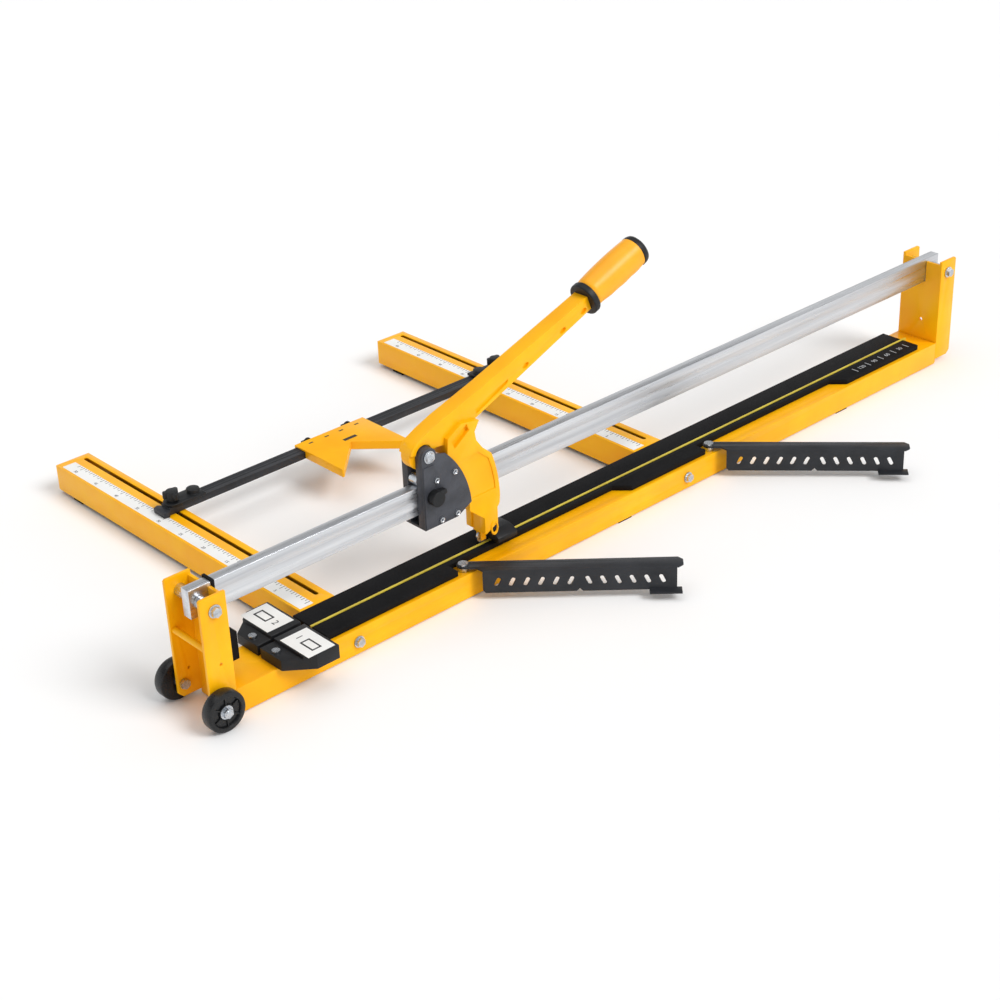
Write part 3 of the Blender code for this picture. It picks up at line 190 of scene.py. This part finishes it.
# Breaking ridge: a steel strip between the pads. Its paint is dull yellow and patchy, because tiles
# rub it thin, so the eye sees it lighter and darker along its length.
ridge_coat, shader = finish("worn_ridge_paint", "#D8C34A", 0.45)
surface(
    ridge_coat, shader, "#E0CB45", "#C4AC35", grain_mm=3.0, rough=(0.35, 0.55), relief_mm=0.05, cloud_mm=25
)
dress(nodes["breaking_ridge"], ridge_coat)


# Rubber pads, feet, rail ring and buffer: black nitrile sheet, glued or pushed on.
# It is cut from rolled sheet with a fine grain, which scatters light and leaves it nearly black.
rubber_sheet, shader = finish("nitrile_rubber", "#0F0F11", 0.8, Specular_IOR_Level=0.16)
surface(
    rubber_sheet, shader, "#131315", "#0B0B0D", grain_mm=1.0, rough=(0.62, 0.85), relief_mm=0.10, cloud_mm=35
)
for node in ("back_pad", "front_pad"):
    remake(node, f"{node}_rubber", rubber_sheet, bevel_mm=0.8)
for node in (
    "base_foot_middle", "base_foot_right", "rail_ring", "end_buffer", "left_arm_foot", "right_arm_foot",
):
    dress(nodes[node], rubber_sheet)


# Printed marks: white vinyl film, and black and grey ink printed on film or rubber. Numbers only, in a
# plain face. The film has a clear glossy layer, so it shines where the ink doesn't.
white_film, shader = finish("white_vinyl_film", "#F4F4F2", 0.35, Coat_Weight=0.3, Coat_Roughness=0.12)
surface(white_film, shader, "#F6F6F4", "#EDEDEA", grain_mm=1.5, rough=(0.3, 0.42), relief_mm=0.01)
# The black ink also paints the shade in the angle stop's slots.
black_ink_and_shade, shader = finish("black_print_and_painted_shade", "#1A1A1C", 0.5)
surface(black_ink_and_shade, shader, "#202023", "#151517", grain_mm=1.0, rough=(0.4, 0.6), relief_mm=0.01)
grey_ink, shader = finish("grey_print", "#B9BCC0", 0.5)
surface(grey_ink, shader, "#C3C6CA", "#A9ACB1", grain_mm=1.0, rough=(0.4, 0.6), relief_mm=0.01)


INK = 0.0001
FILM = 0.0003
FILM_LIFT = 0.00005


def from_bmesh(name, bm, material, smooth_angle=None):
    """An object from a bmesh, with its faces turned outwards; smooth_angle is in degrees."""
    bmesh.ops.recalc_face_normals(bm, faces=bm.faces)
    mesh = bpy.data.meshes.new(name)
    bm.to_mesh(mesh)
    bm.free()
    made = bpy.data.objects.new(name, mesh)
    bpy.context.scene.collection.objects.link(made)
    if smooth_angle:
        mesh.shade_smooth()
        mesh.set_sharp_from_angle(angle=math.radians(smooth_angle))
    if material:
        dress(made, material)
    return made


def add_block(bm, low, high):
    """A block into bm between two corners."""
    start = bmesh.ops.create_cube(bm, size=1)["verts"]
    for vertex in start:
        vertex.co = Vector(a + (share + 0.5) * (b - a) for a, b, share in zip(low, high, vertex.co))


def join_to(piece, body):
    """Fixes a piece to a body of the frame."""
    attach(piece, body)


def lettering(name, words, place, height, material, turn=0.0):
    """Flat printed numbers, centred on place and turned about Z, in degrees."""
    text = bpy.data.curves.new(name, "FONT")
    text.body = words
    text.size = height
    text.align_x = "CENTER"
    text.align_y = "CENTER"
    text.extrude = INK / 2
    text.resolution_u = 3
    drawn = bpy.data.objects.new(name, text)
    bpy.context.scene.collection.objects.link(drawn)
    drawn.location = place
    drawn.rotation_euler = (0, 0, math.radians(turn))
    bpy.context.view_layer.update()
    made = baked(drawn, name)
    dress(made, material)
    return made


# Slot shade sheets: matt, almost black strips inside the rear arms, far enough down for the clamps' nuts to
# pass above.
# They are painted shade: they stand in for the dark seen through the slots, so the slots look dark.
SHADE_SHEET_END = 0.062  # short of the arm's foot
# Painted shade: a matt, nearly black coat for the sheets under the slots.
shade_sheet_coat, shader = finish("painted_slot_shade", "#1A1A1B", 0.7, metallic=0.4)
surface(shade_sheet_coat, shader, "#1E1E20", "#141415", grain_mm=1.2, rough=(0.6, 0.8), relief_mm=0.03)
for side in ("left", "right"):
    low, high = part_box(f"{side}_rear_arm")
    bm = bmesh.new()
    add_block(
        bm,
        (low.x + 0.0025, low.y + 0.004, low.z + 0.006),
        (high.x - 0.0025, high.y - SHADE_SHEET_END, low.z + 0.008),
    )
    shade_sheet = from_bmesh(f"{side}_slot_shade_sheet", bm, shade_sheet_coat)
    join_to(shade_sheet, "frame")


# Rulers: a white film strip stuck along each rear arm, marked every 5 mm and numbered every 50 mm.
PITCH = 0.005
TICK_START = 0.006
TICK_HALF = 0.0004
LONG_TICK, MIDDLE_TICK, SHORT_TICK = 0.0085, 0.0062, 0.0042
RULER_NUMBER = 0.0062
for side in ("left", "right"):
    low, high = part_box(f"{side}_rear_arm")
    top = high.z
    strip_low = (low.x + 0.0035, low.y + 0.004)
    strip_high = (low.x + 0.0235, high.y - 0.012)
    bm = bmesh.new()
    add_block(bm, (*strip_low, top + FILM_LIFT), (*strip_high, top + FILM))
    strip = from_bmesh(f"{side}_ruler_film", bm, white_film)
    join_to(strip, "frame")
    bm = bmesh.new()
    count = int((strip_high[1] - strip_low[1] - 2 * TICK_START) / PITCH)
    for i in range(count):
        length = LONG_TICK if i % 10 == 0 else MIDDLE_TICK if i % 2 == 0 else SHORT_TICK
        y = strip_low[1] + TICK_START + i * PITCH
        add_block(
            bm,
            (strip_high[0] - length, y - TICK_HALF, top + FILM),
            (strip_high[0] - 0.0005, y + TICK_HALF, top + FILM + INK),
        )
    ticks = from_bmesh(f"{side}_ruler_ticks", bm, black_ink_and_shade)
    join_to(ticks, "frame")
    for i in range(10, count, 10):
        y = strip_low[1] + TICK_START + i * PITCH
        number = lettering(
            f"{side}_ruler_number_{i // 10}",
            str(i // 2),
            (strip_low[0] + 0.005, y, top + FILM + INK),
            RULER_NUMBER,
            black_ink_and_shade,
            turn=-90,
        )
        join_to(number, "frame")


# Guide rail: an extruded aluminium bar, bolted between the brackets. It is brushed along its length,
# so that its gloss runs in long fine streaks.
rail_metal, shader = finish("brushed_extruded_aluminium", "#D2D4D8", 0.32, metallic=1.0)
surface(
    rail_metal, shader, "#E3E5E8", "#BFC2C7", grain_mm=1.1, rough=(0.24, 0.46), relief_mm=0.03,
    stretch=(0.02, 1, 1), cloud_mm=9,
)
remake("guide_rail", "guide_rail_bar", rail_metal, bevel_mm=0.7)


# Bolts, nuts, washers, spacers, rollers and the scoring wheel: turned or pressed steel, zinc plated.
# The plate is thin and bright, with small cloudy patches from the bath.
zinc_plate, shader = finish("bright_zinc_plate", "#C9CDD2", 0.28, metallic=1.0)
surface(
    zinc_plate, shader, "#D6DADF", "#AEB3B9", grain_mm=1.6, rough=(0.18, 0.38), relief_mm=0.02, cloud_mm=7
)
for part in frame["record"]["subparts"]:
    if part["material_slot"] == "zinc_steel":
        dress(nodes[part["node"]], zinc_plate)
for node in ("rail_bolt_left", "rail_bolt_right", "pivot_bolt"):
    remake(node, f"{node}_plated", zinc_plate, bevel_mm=0.5)


# Stop blocks, clamps, knobs, collar and foot: glass-filled nylon, screwed on. The mould is spark eroded,
# which leaves a fine grain and a broad, weak shine on the black.
nylon, shader = finish("moulded_black_nylon", "#18191C", 0.45, Specular_IOR_Level=0.3)
surface(nylon, shader, "#1E1F22", "#131416", grain_mm=1.3, rough=(0.36, 0.54), relief_mm=0.06, cloud_mm=30)
for node in (
    "stop_block_front", "stop_block_back", "fence_clamp_left", "fence_clamp_right", "fence_knob_left",
    "fence_knob_right", "stop_screw_left", "stop_screw_right", "adjusting_knob", "breaking_foot",
    "grip_collar",
):
    remake(node, f"{node}_moulded", nylon, bevel_mm=0.9, segments=3)

# Each stop block carries a white film with a black outline and a number.
LABEL_START, LABEL_END = 0.0420, 0.0035  # back from the block's right end
LABEL_NEAR, LABEL_FAR = 0.012, 0.0655  # from the rail's middle
MARK_HALF_X, MARK_HALF_Y, MARK_LINE = 0.007, 0.012, 0.0022
STOP_NUMBER = 0.013
rail_low, rail_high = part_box("guide_rail")
centre_y = (rail_low.y + rail_high.y) / 2
for where, way in (("front", -1), ("back", 1)):
    low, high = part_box(f"stop_block_{where}")
    near = centre_y + way * LABEL_NEAR
    far = centre_y + way * LABEL_FAR
    ys = sorted((near, far))
    bm = bmesh.new()
    add_block(
        bm,
        (high.x - LABEL_START, ys[0], high.z + FILM_LIFT),
        (high.x - LABEL_END, ys[1], high.z + FILM),
    )
    film = from_bmesh(f"stop_film_{where}", bm, white_film)
    join_to(film, "frame")
    middle = (high.x - (LABEL_START + LABEL_END) / 2, (near + far) / 2)
    bm = bmesh.new()
    mark_y = middle[1] + way * 0.006
    top = high.z + FILM
    left, right = middle[0] - MARK_HALF_X, middle[0] + MARK_HALF_X
    front, back = mark_y - MARK_HALF_Y, mark_y + MARK_HALF_Y
    for a, b in (
        ((left, front), (left + MARK_LINE, back)),
        ((right - MARK_LINE, front), (right, back)),
        ((left, front), (right, front + MARK_LINE)),
        ((left, back - MARK_LINE), (right, back)),
    ):
        add_block(bm, (*a, top), (*b, top + INK))
    frame_mark = from_bmesh(f"stop_mark_{where}", bm, black_ink_and_shade)
    join_to(frame_mark, "frame")
    digit = lettering(
        f"stop_number_{where}",
        "1" if way < 0 else "2",
        (middle[0], middle[1] - way * 0.016, top + INK),
        STOP_NUMBER,
        black_ink_and_shade,
        turn=-90,
    )
    join_to(digit, "frame")

# Front pad's print: a plain row of grey numbers and lines near the right end.
PAD_PITCH = 0.030
PAD_NUMBER = 0.010
low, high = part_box("front_pad")
for i in range(4):
    mark = lettering(
        f"pad_number_{i}",
        str(30 + 30 * i),
        (high.x - PAD_PITCH * (i + 1), low.y + 0.0115, high.z + INK),
        PAD_NUMBER,
        grey_ink,
    )
    join_to(mark, "frame")
bm = bmesh.new()
for i in range(5):
    x = high.x - PAD_PITCH * (i + 0.5)
    add_block(bm, (x - 0.0006, low.y + 0.006, high.z), (x + 0.0006, low.y + 0.018, high.z + INK))
pad_lines = from_bmesh("pad_lines", bm, grey_ink)
join_to(pad_lines, "frame")


# Transport wheels: moulded polypropylene, turning on the axle bolts. The outer side is dished, with six
# ribs, and the mould is polished, so the black is glossier than on the other mouldings.
wheel_plastic, shader = finish("glossy_black_wheel", "#101113", 0.3, Specular_IOR_Level=0.4)
surface(wheel_plastic, shader, "#141517", "#0C0D0F", grain_mm=1.5, rough=(0.24, 0.40), relief_mm=0.04)


def turned(name, profile, centre, way, material, steps=72):
    """A solid turned about Y through centre, from points (distance along way, radius)."""
    bm = bmesh.new()
    ring = [bm.verts.new((0, way * distance, radius)) for distance, radius in profile]
    for a, b in zip(ring, ring[1:] + ring[:1]):
        bm.edges.new((a, b))
    bmesh.ops.spin(
        bm, geom=bm.verts[:] + bm.edges[:], cent=(0, 0, 0), axis=(0, 1, 0), angle=math.tau, steps=steps,
        use_merge=True,
    )
    bmesh.ops.remove_doubles(bm, verts=bm.verts, dist=1e-6)
    bmesh.ops.translate(bm, verts=bm.verts, vec=centre)
    return from_bmesh(name, bm, material, smooth_angle=30)


RIBS = 6
RIB_HEIGHT = 0.0018
BORE = 0.0048
for where, way in (("front", -1), ("back", 1)):
    low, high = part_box(f"wheel_{where}")
    radius = (high.z - low.z) / 2
    width = high.y - low.y
    centre = Vector(((low.x + high.x) / 2, low.y if way > 0 else high.y, (low.z + high.z) / 2))
    profile = [
        (0.0, BORE), (0.0, radius - 0.0022), (0.0008, radius - 0.0007), (0.0025, radius),
        (width - 0.0030, radius), (width - 0.0010, radius - 0.0009), (width, radius - 0.0030),
        (width, radius - 0.0062), (width - 0.0010, radius - 0.0070), (width - 0.0032, radius - 0.0078),
        (width - 0.0034, 0.0105), (width - 0.0012, 0.0098), (width - 0.0010, 0.0092),
        (width - 0.0034, 0.0088), (width - 0.0036, BORE),
    ]
    wheel = turned(f"wheel_{where}_moulded", profile, centre, way, wheel_plastic)
    bm = bmesh.new()
    dish = centre + Vector((0, way * (width - 0.0034) - (RIB_HEIGHT if way < 0 else 0), 0))
    for i in range(RIBS):
        start = len(bm.verts)
        add_block(bm, (-0.0009, 0.0, 0.0098), (0.0009, RIB_HEIGHT, radius - 0.0074))
        bm.verts.ensure_lookup_table()
        turn = Matrix.Translation(dish) @ Matrix.Rotation(math.tau * i / RIBS, 4, "Y")
        bmesh.ops.transform(bm, verts=bm.verts[start:], matrix=turn)
    ribs = from_bmesh(f"wheel_{where}_ribs", bm, wheel_plastic)
    soften = ribs.modifiers.new("soften", "BEVEL")
    soften.width = 0.0003
    soften.segments = 2
    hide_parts(f"wheel_{where}")
    join_to(wheel, f"wheel_{where}")
    join_to(ribs, f"wheel_{where}")


# Fence bar and side supports: steel bar and punched sheet, powder coated black with a fine satin texture
# that dulls the shine. The bar is clamped across the rear arms, and the supports turn on bolts.
black_coat, shader = finish("satin_black_powder_coat", "#232529", 0.45, Specular_IOR_Level=0.35)
surface(
    black_coat, shader, "#2A2C31", "#1D1F23", grain_mm=1.2, rough=(0.36, 0.52), relief_mm=0.05, cloud_mm=40
)
for node in ("fence_bar", "left_side_arm", "right_side_arm"):
    remake(node, f"{node}_coated", black_coat, bevel_mm=0.5)

# A raised rib runs along the fence bar's top, from clamp to clamp.
RIB_HALF = 0.0016
low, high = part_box("fence_bar")
bm = bmesh.new()
clamp_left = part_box("fence_clamp_left")[1].x
clamp_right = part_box("fence_clamp_right")[0].x
middle_y = (low.y + high.y) / 2
stop_low, stop_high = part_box("angle_stop")
add_block(
    bm,
    (clamp_left + 0.002, middle_y - RIB_HALF, high.z - 0.0004),
    (clamp_right - 0.002, middle_y + RIB_HALF, high.z + 0.0003),
)
rib = from_bmesh("fence_rib", bm, black_coat)
join_to(rib, "fence")


# Angle stop: folded sheet in the same amber coat, held to the fence bar by two screws from behind.
# Black marks on its top, in the print's black ink, are painted shade for four short slots near the back edge
# and one beside the notch.
MARK_PLACES = (-0.040, -0.0125, 0.0125, 0.040)
remake("angle_stop", "angle_stop_sheet", amber_coat, bevel_mm=0.6)
middle_x = (stop_low.x + stop_high.x) / 2
bm = bmesh.new()
for x in MARK_PLACES:
    add_block(
        bm,
        (middle_x + x - 0.0035, stop_high.y - 0.012, stop_high.z - INK),
        (middle_x + x + 0.0035, stop_high.y - 0.0095, stop_high.z + INK),
    )
add_block(
    bm,
    (middle_x - 0.004, stop_high.y - 0.041, stop_high.z - INK),
    (middle_x + 0.018, stop_high.y - 0.035, stop_high.z + INK),
)
# Painted shade: flat black marks where the slots' openings are.
slots = from_bmesh("angle_stop_slot_shade", bm, black_ink_and_shade)
join_to(slots, "angle_stop")


# Carriage: two cast cheeks on rollers, with a thin fan-shaped cover screwed on in front, painted dark grey.
# The paint follows the casting's grain, a millimetre or two across, so the light on it breaks up.
# Screws are placed by how far ahead of the pivot and below it they are.
COVER_SCREWS = ((0.009, 0.034), (0.038, 0.033), (0.039, 0.0895), (0.014, 0.0895))
SCREW_PROFILE = [
    (0.0, 0.0012), (0.0, 0.0040), (0.0008, 0.0040), (0.0026, 0.0035), (0.0030, 0.0027), (0.0022, 0.0018),
    (0.0016, 0.0012),
]
COVER_FACE = 0.0022  # back from the cover's foremost point
cast_paint, shader = finish("grey_painted_casting", "#3D3F46", 0.45, Specular_IOR_Level=0.4)
surface(
    cast_paint, shader, "#44464D", "#33353B", grain_mm=1.6, rough=(0.34, 0.56), relief_mm=0.09, cloud_mm=22
)
remake("carriage_body", "carriage_casting", cast_paint, bevel_mm=0.7)
remake("carriage_cover", "carriage_cover_plate", cast_paint, bevel_mm=0.4)
cover_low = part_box("carriage_cover")[0]
pivot = Vector([(a + b) / 2 for a, b in zip(*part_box("pivot_bolt"))])
cover_face = cover_low.y + COVER_FACE
for i, (ahead, below) in enumerate(COVER_SCREWS):
    head = turned(
        f"cover_screw_{i}",
        SCREW_PROFILE,
        Vector((pivot.x + ahead, cover_face - 0.0002, pivot.z - below)),
        -1,
        zinc_plate,
        steps=24,
    )
    join_to(head, "carriage")

# The cover's left side has a raised strip over the cheek.
STRIP_HALF = 0.0105
bm = bmesh.new()
add_block(
    bm,
    (pivot.x - STRIP_HALF, cover_face - 0.0012, cover_low.z + 0.001),
    (pivot.x + STRIP_HALF - 0.004, cover_face + 0.0003, pivot.z - 0.012),
)
strip = from_bmesh("cover_strip", bm, cast_paint)
soften = strip.modifiers.new("soften", "BEVEL")
soften.width = 0.0006
soften.segments = 2
join_to(strip, "carriage")


# Lever: an aluminium casting in the amber coat, with a fork round the rail, turning on the pivot bolt.
# Its front side has pockets in the shaft and at the fork's root, and three small notches further out.
shaft_tilt = math.radians(21.2)
along = Vector((math.cos(shaft_tilt), 0, math.sin(shaft_tilt)))
upward = Vector((-along.z, 0, along.x))


def pocket(points, depth, face, axes=(along, upward)):
    """A cutter that sinks depth into a front face, from points measured from the pivot along two axes."""
    bm = bmesh.new()
    for y in (face - 0.004, face + depth):
        ring = [bm.verts.new(pivot_axis + axes[0] * u + axes[1] * v + Vector((0, y, 0))) for u, v in points]
        bm.faces.new(ring)
    bm.verts.ensure_lookup_table()
    count = len(points)
    for i in range(count):
        j = (i + 1) % count
        bm.faces.new((bm.verts[i], bm.verts[j], bm.verts[count + j], bm.verts[count + i]))
    return from_bmesh("pocket", bm, None)


pivot_axis = Vector((pivot.x, centre_y, pivot.z))
shaft_face = -0.011
fork_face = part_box("lever")[0].y - pivot_axis.y
long_pocket = [
    (0.088, -0.0020), (0.118, -0.0010), (0.148, -0.0020),
    (0.144, -0.0060), (0.118, -0.0075), (0.088, -0.0090),
]
root_pocket = [(0.037, -0.0085), (0.066, -0.0040), (0.066, -0.0140), (0.038, -0.0210)]
cuts = [pocket(long_pocket, 0.0030, shaft_face), pocket(root_pocket, 0.005, fork_face)]
BITES = ((0.178, -0.0052), (0.247, -0.0044), (0.286, -0.0040))
for distance, height in BITES:
    bite = [
        (distance + 0.0055 * math.cos(a), height + 0.0032 * math.sin(a))
        for a in (math.tau * i / 20 for i in range(20))
    ]
    cuts.append(pocket(bite, 0.0035, shaft_face))

# The fork's side is sunk between a rim on its outer edge and a narrower one on its inner edge, which are
# parts of two circles about a point behind and below the pivot.
FORK_CENTRE = (-0.060, -0.094)
FORK_RIM = 0.1655
FORK_LIP = 0.1275
FORK_SHOULDER = (0.079, -0.023)


def fork_arc(radius, angles):
    """Points of a circle about the fork's centre, at angles in degrees."""
    turns = [math.radians(angle) for angle in angles]
    return [(FORK_CENTRE[0] + radius * math.cos(a), FORK_CENTRE[1] + radius * math.sin(a)) for a in turns]


sunk = fork_arc(FORK_RIM, range(4, 21, 2)) + [FORK_SHOULDER] + fork_arc(FORK_LIP, range(32, 3, -3))
cuts.append(pocket(sunk, 0.0014, fork_face, axes=(Vector((1, 0, 0)), Vector((0, 0, 1)))))
remake("lever", "lever_casting", amber_coat, bevel_mm=1.1, cuts=cuts, segments=3)

# The wheel's holder is cast in the same coat; the pin in the fork's nose is blackened steel.
blackened, shader = finish("blackened_steel", "#3A3B3F", 0.42, metallic=0.8)
surface(blackened, shader, "#45464B", "#303135", grain_mm=1.4, rough=(0.34, 0.55), relief_mm=0.03)
dress(nodes["wheel_holder"], amber_coat)
dress(nodes["foot_pin"], blackened)

# An eye-shaped lug is cast on the side of the nose.
LUG_HALF_X, LUG_HALF_Z = 0.0062, 0.0105
LUG_STEPS = 32
nose_low, nose_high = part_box("wheel_holder")
lug_centre = Vector((nose_high.x - 0.001, pivot_axis.y + fork_face, nose_low.z + 0.020))
bm = bmesh.new()
rings = []
for y, size in ((0.0004, 1.0), (-0.0010, 0.94), (-0.0012, 0.66), (0.0002, 0.60)):
    rings.append([
        bm.verts.new(
            lug_centre + Vector((LUG_HALF_X * size * math.cos(a), y, LUG_HALF_Z * size * math.sin(a)))
        )
        for a in (math.tau * i / LUG_STEPS for i in range(LUG_STEPS))
    ])
for first, second in zip(rings, rings[1:] + rings[:1]):
    for i in range(LUG_STEPS):
        j = (i + 1) % LUG_STEPS
        bm.faces.new((first[i], first[j], second[j], second[i]))
lug = from_bmesh("nose_lug", bm, amber_coat, smooth_angle=40)
join_to(lug, "lever")


# Grip: polypropylene, moulded amber and pushed on the shaft's spigot. It swells in the middle, has finger
# hollows below and a black end cap, and shines softly, with a little light passing into the plastic.
amber_grip, shader = finish("moulded_amber_grip", "#FFAE06", 0.4, Subsurface_Weight=0.03)
surface(amber_grip, shader, "#FFB40C", "#F9A503", grain_mm=1.1, rough=(0.32, 0.46), relief_mm=0.05)
GRIP_START = 0.3078  # from the pivot
GRIP_LENGTH = 0.0975
GRIP_RADIUS = 0.0215
GRIP_RISE = 0.0025  # of its line over the shaft's
CAP_LENGTH = 0.010
GRIP_STEPS = 48
HOLLOW = 0.0009


def round_shaft(name, stations, material, segments=56, shape=None):
    """A closed skin round the grip's line, through stations (distance, radius) that shape may change."""
    bm = bmesh.new()
    rings = []
    for distance, radius in stations:
        ring = []
        for i in range(segments):
            angle = math.tau * i / segments
            r = shape(distance, radius, angle) if shape else radius
            ring.append(bm.verts.new(
                pivot_axis
                + along * distance
                + upward * (GRIP_RISE + r * math.cos(angle))
                + Vector((0, r * math.sin(angle), 0))
            ))
        rings.append(ring)
    for first, second in zip(rings, rings[1:]):
        for i in range(segments):
            j = (i + 1) % segments
            bm.faces.new((first[i], first[j], second[j], second[i]))
    bm.faces.new(rings[0])
    bm.faces.new(rings[-1])
    return from_bmesh(name, bm, material, smooth_angle=40)


def finger_ridges(distance, radius, angle):
    """Shallow hollows for four fingers on the underside, and two flats on the sides."""
    share = (distance - GRIP_START) / GRIP_LENGTH
    below = max(0.0, -math.cos(angle)) ** 2
    hollow = HOLLOW * below * (0.5 - 0.5 * math.cos(math.tau * 4 * share)) * (1 if share < 0.92 else 0)
    flat = HOLLOW * abs(math.sin(angle)) ** 6
    return radius - hollow - flat


stations = []
for i in range(GRIP_STEPS + 1):
    share = i / GRIP_STEPS
    swell = GRIP_RADIUS * (0.86 + 0.14 * math.sin(math.pi * (0.04 + 0.78 * share)) ** 0.7)
    if share < 0.04:
        swell -= 0.0012 * (1 - share / 0.04)
    stations.append((GRIP_START + share * (GRIP_LENGTH - CAP_LENGTH), swell))
grip = round_shaft("grip_moulded", stations, amber_grip, shape=finger_ridges)
cap_start = GRIP_START + GRIP_LENGTH - CAP_LENGTH
end_radius = stations[-1][1]
CAP_STEPS = (
    (0.0, -0.0004), (0.0006, 0.0002), (0.0050, 0.0), (0.0082, -0.0012), (0.0096, -0.0034), (0.0100, -0.0075),
    (0.0088, -0.0100),
)
cap_stations = [(cap_start + ahead, end_radius + wider) for ahead, wider in CAP_STEPS]
cap = round_shaft("grip_cap", cap_stations, nylon)
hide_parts("grip")
join_to(grip, "lever")
join_to(cap, "lever")


# Floor, lights and camera: plain pale paper that reaches the horizon, a broad soft light from the front
# right, and a weaker, softer one from above.
FLOOR_HALF = 400.0
paper, shader = finish("pale_paper_floor", "#F7F7F7", 0.9)
bm = bmesh.new()
bmesh.ops.create_grid(bm, x_segments=1, y_segments=1, size=FLOOR_HALF)
floor = from_bmesh("floor", bm, paper)

world = bpy.data.worlds.new("studio")
bpy.context.scene.world = world
world.use_nodes = True
# The studio's wall is as white as the floor, and its ceiling is grey, so that metal has something to show.
direction = add(world, "ShaderNodeTexCoord")
parts = add(world, "ShaderNodeSeparateXYZ", {}, [("Vector", direction, "Generated")])
ceiling = add(
    world,
    "ShaderNodeMapRange",
    {"From Min": 0.28, "From Max": 0.46, "To Min": 1.0, "To Max": 0.36},
    [("Value", parts, "Z")],
)
world.node_tree.links.new(ceiling.outputs["Result"], world.node_tree.nodes["Background"].inputs["Strength"])
world.node_tree.nodes["Background"].inputs["Color"].default_value = (1.0, 1.0, 1.0, 1.0)


def soft_light(name, place, target, spread, strength):
    """A far light that reaches the whole floor evenly; its spread, in degrees, softens the shadows."""
    lamp = bpy.data.lights.new(name, "SUN")
    lamp.angle = math.radians(spread)
    lamp.energy = strength
    stand = bpy.data.objects.new(name, lamp)
    stand.location = place
    stand.rotation_euler = (Vector(target) - Vector(place)).to_track_quat("-Z", "Y").to_euler()
    bpy.context.scene.collection.objects.link(stand)


soft_light("key", (0.7, -2.1, 2.3), (0.0, 0.0, 0.1), 28, 1.85)
soft_light("top", (-0.2, 0.4, 3.0), (0.0, 0.0, 0.0), 60, 0.75)

camera = bpy.data.cameras.new("camera")
camera.lens = 69.95
camera.sensor_width = 36
camera.clip_end = 900
stand = bpy.data.objects.new("camera", camera)
stand.location = (-1.6244, -1.76887, 1.24693)
stand.rotation_euler = Euler([math.radians(angle) for angle in (61.56855, 1.99755, -42.74864)])
bpy.context.scene.collection.objects.link(stand)
bpy.context.scene.camera = stand
bpy.context.scene.view_settings.view_transform = "Standard"
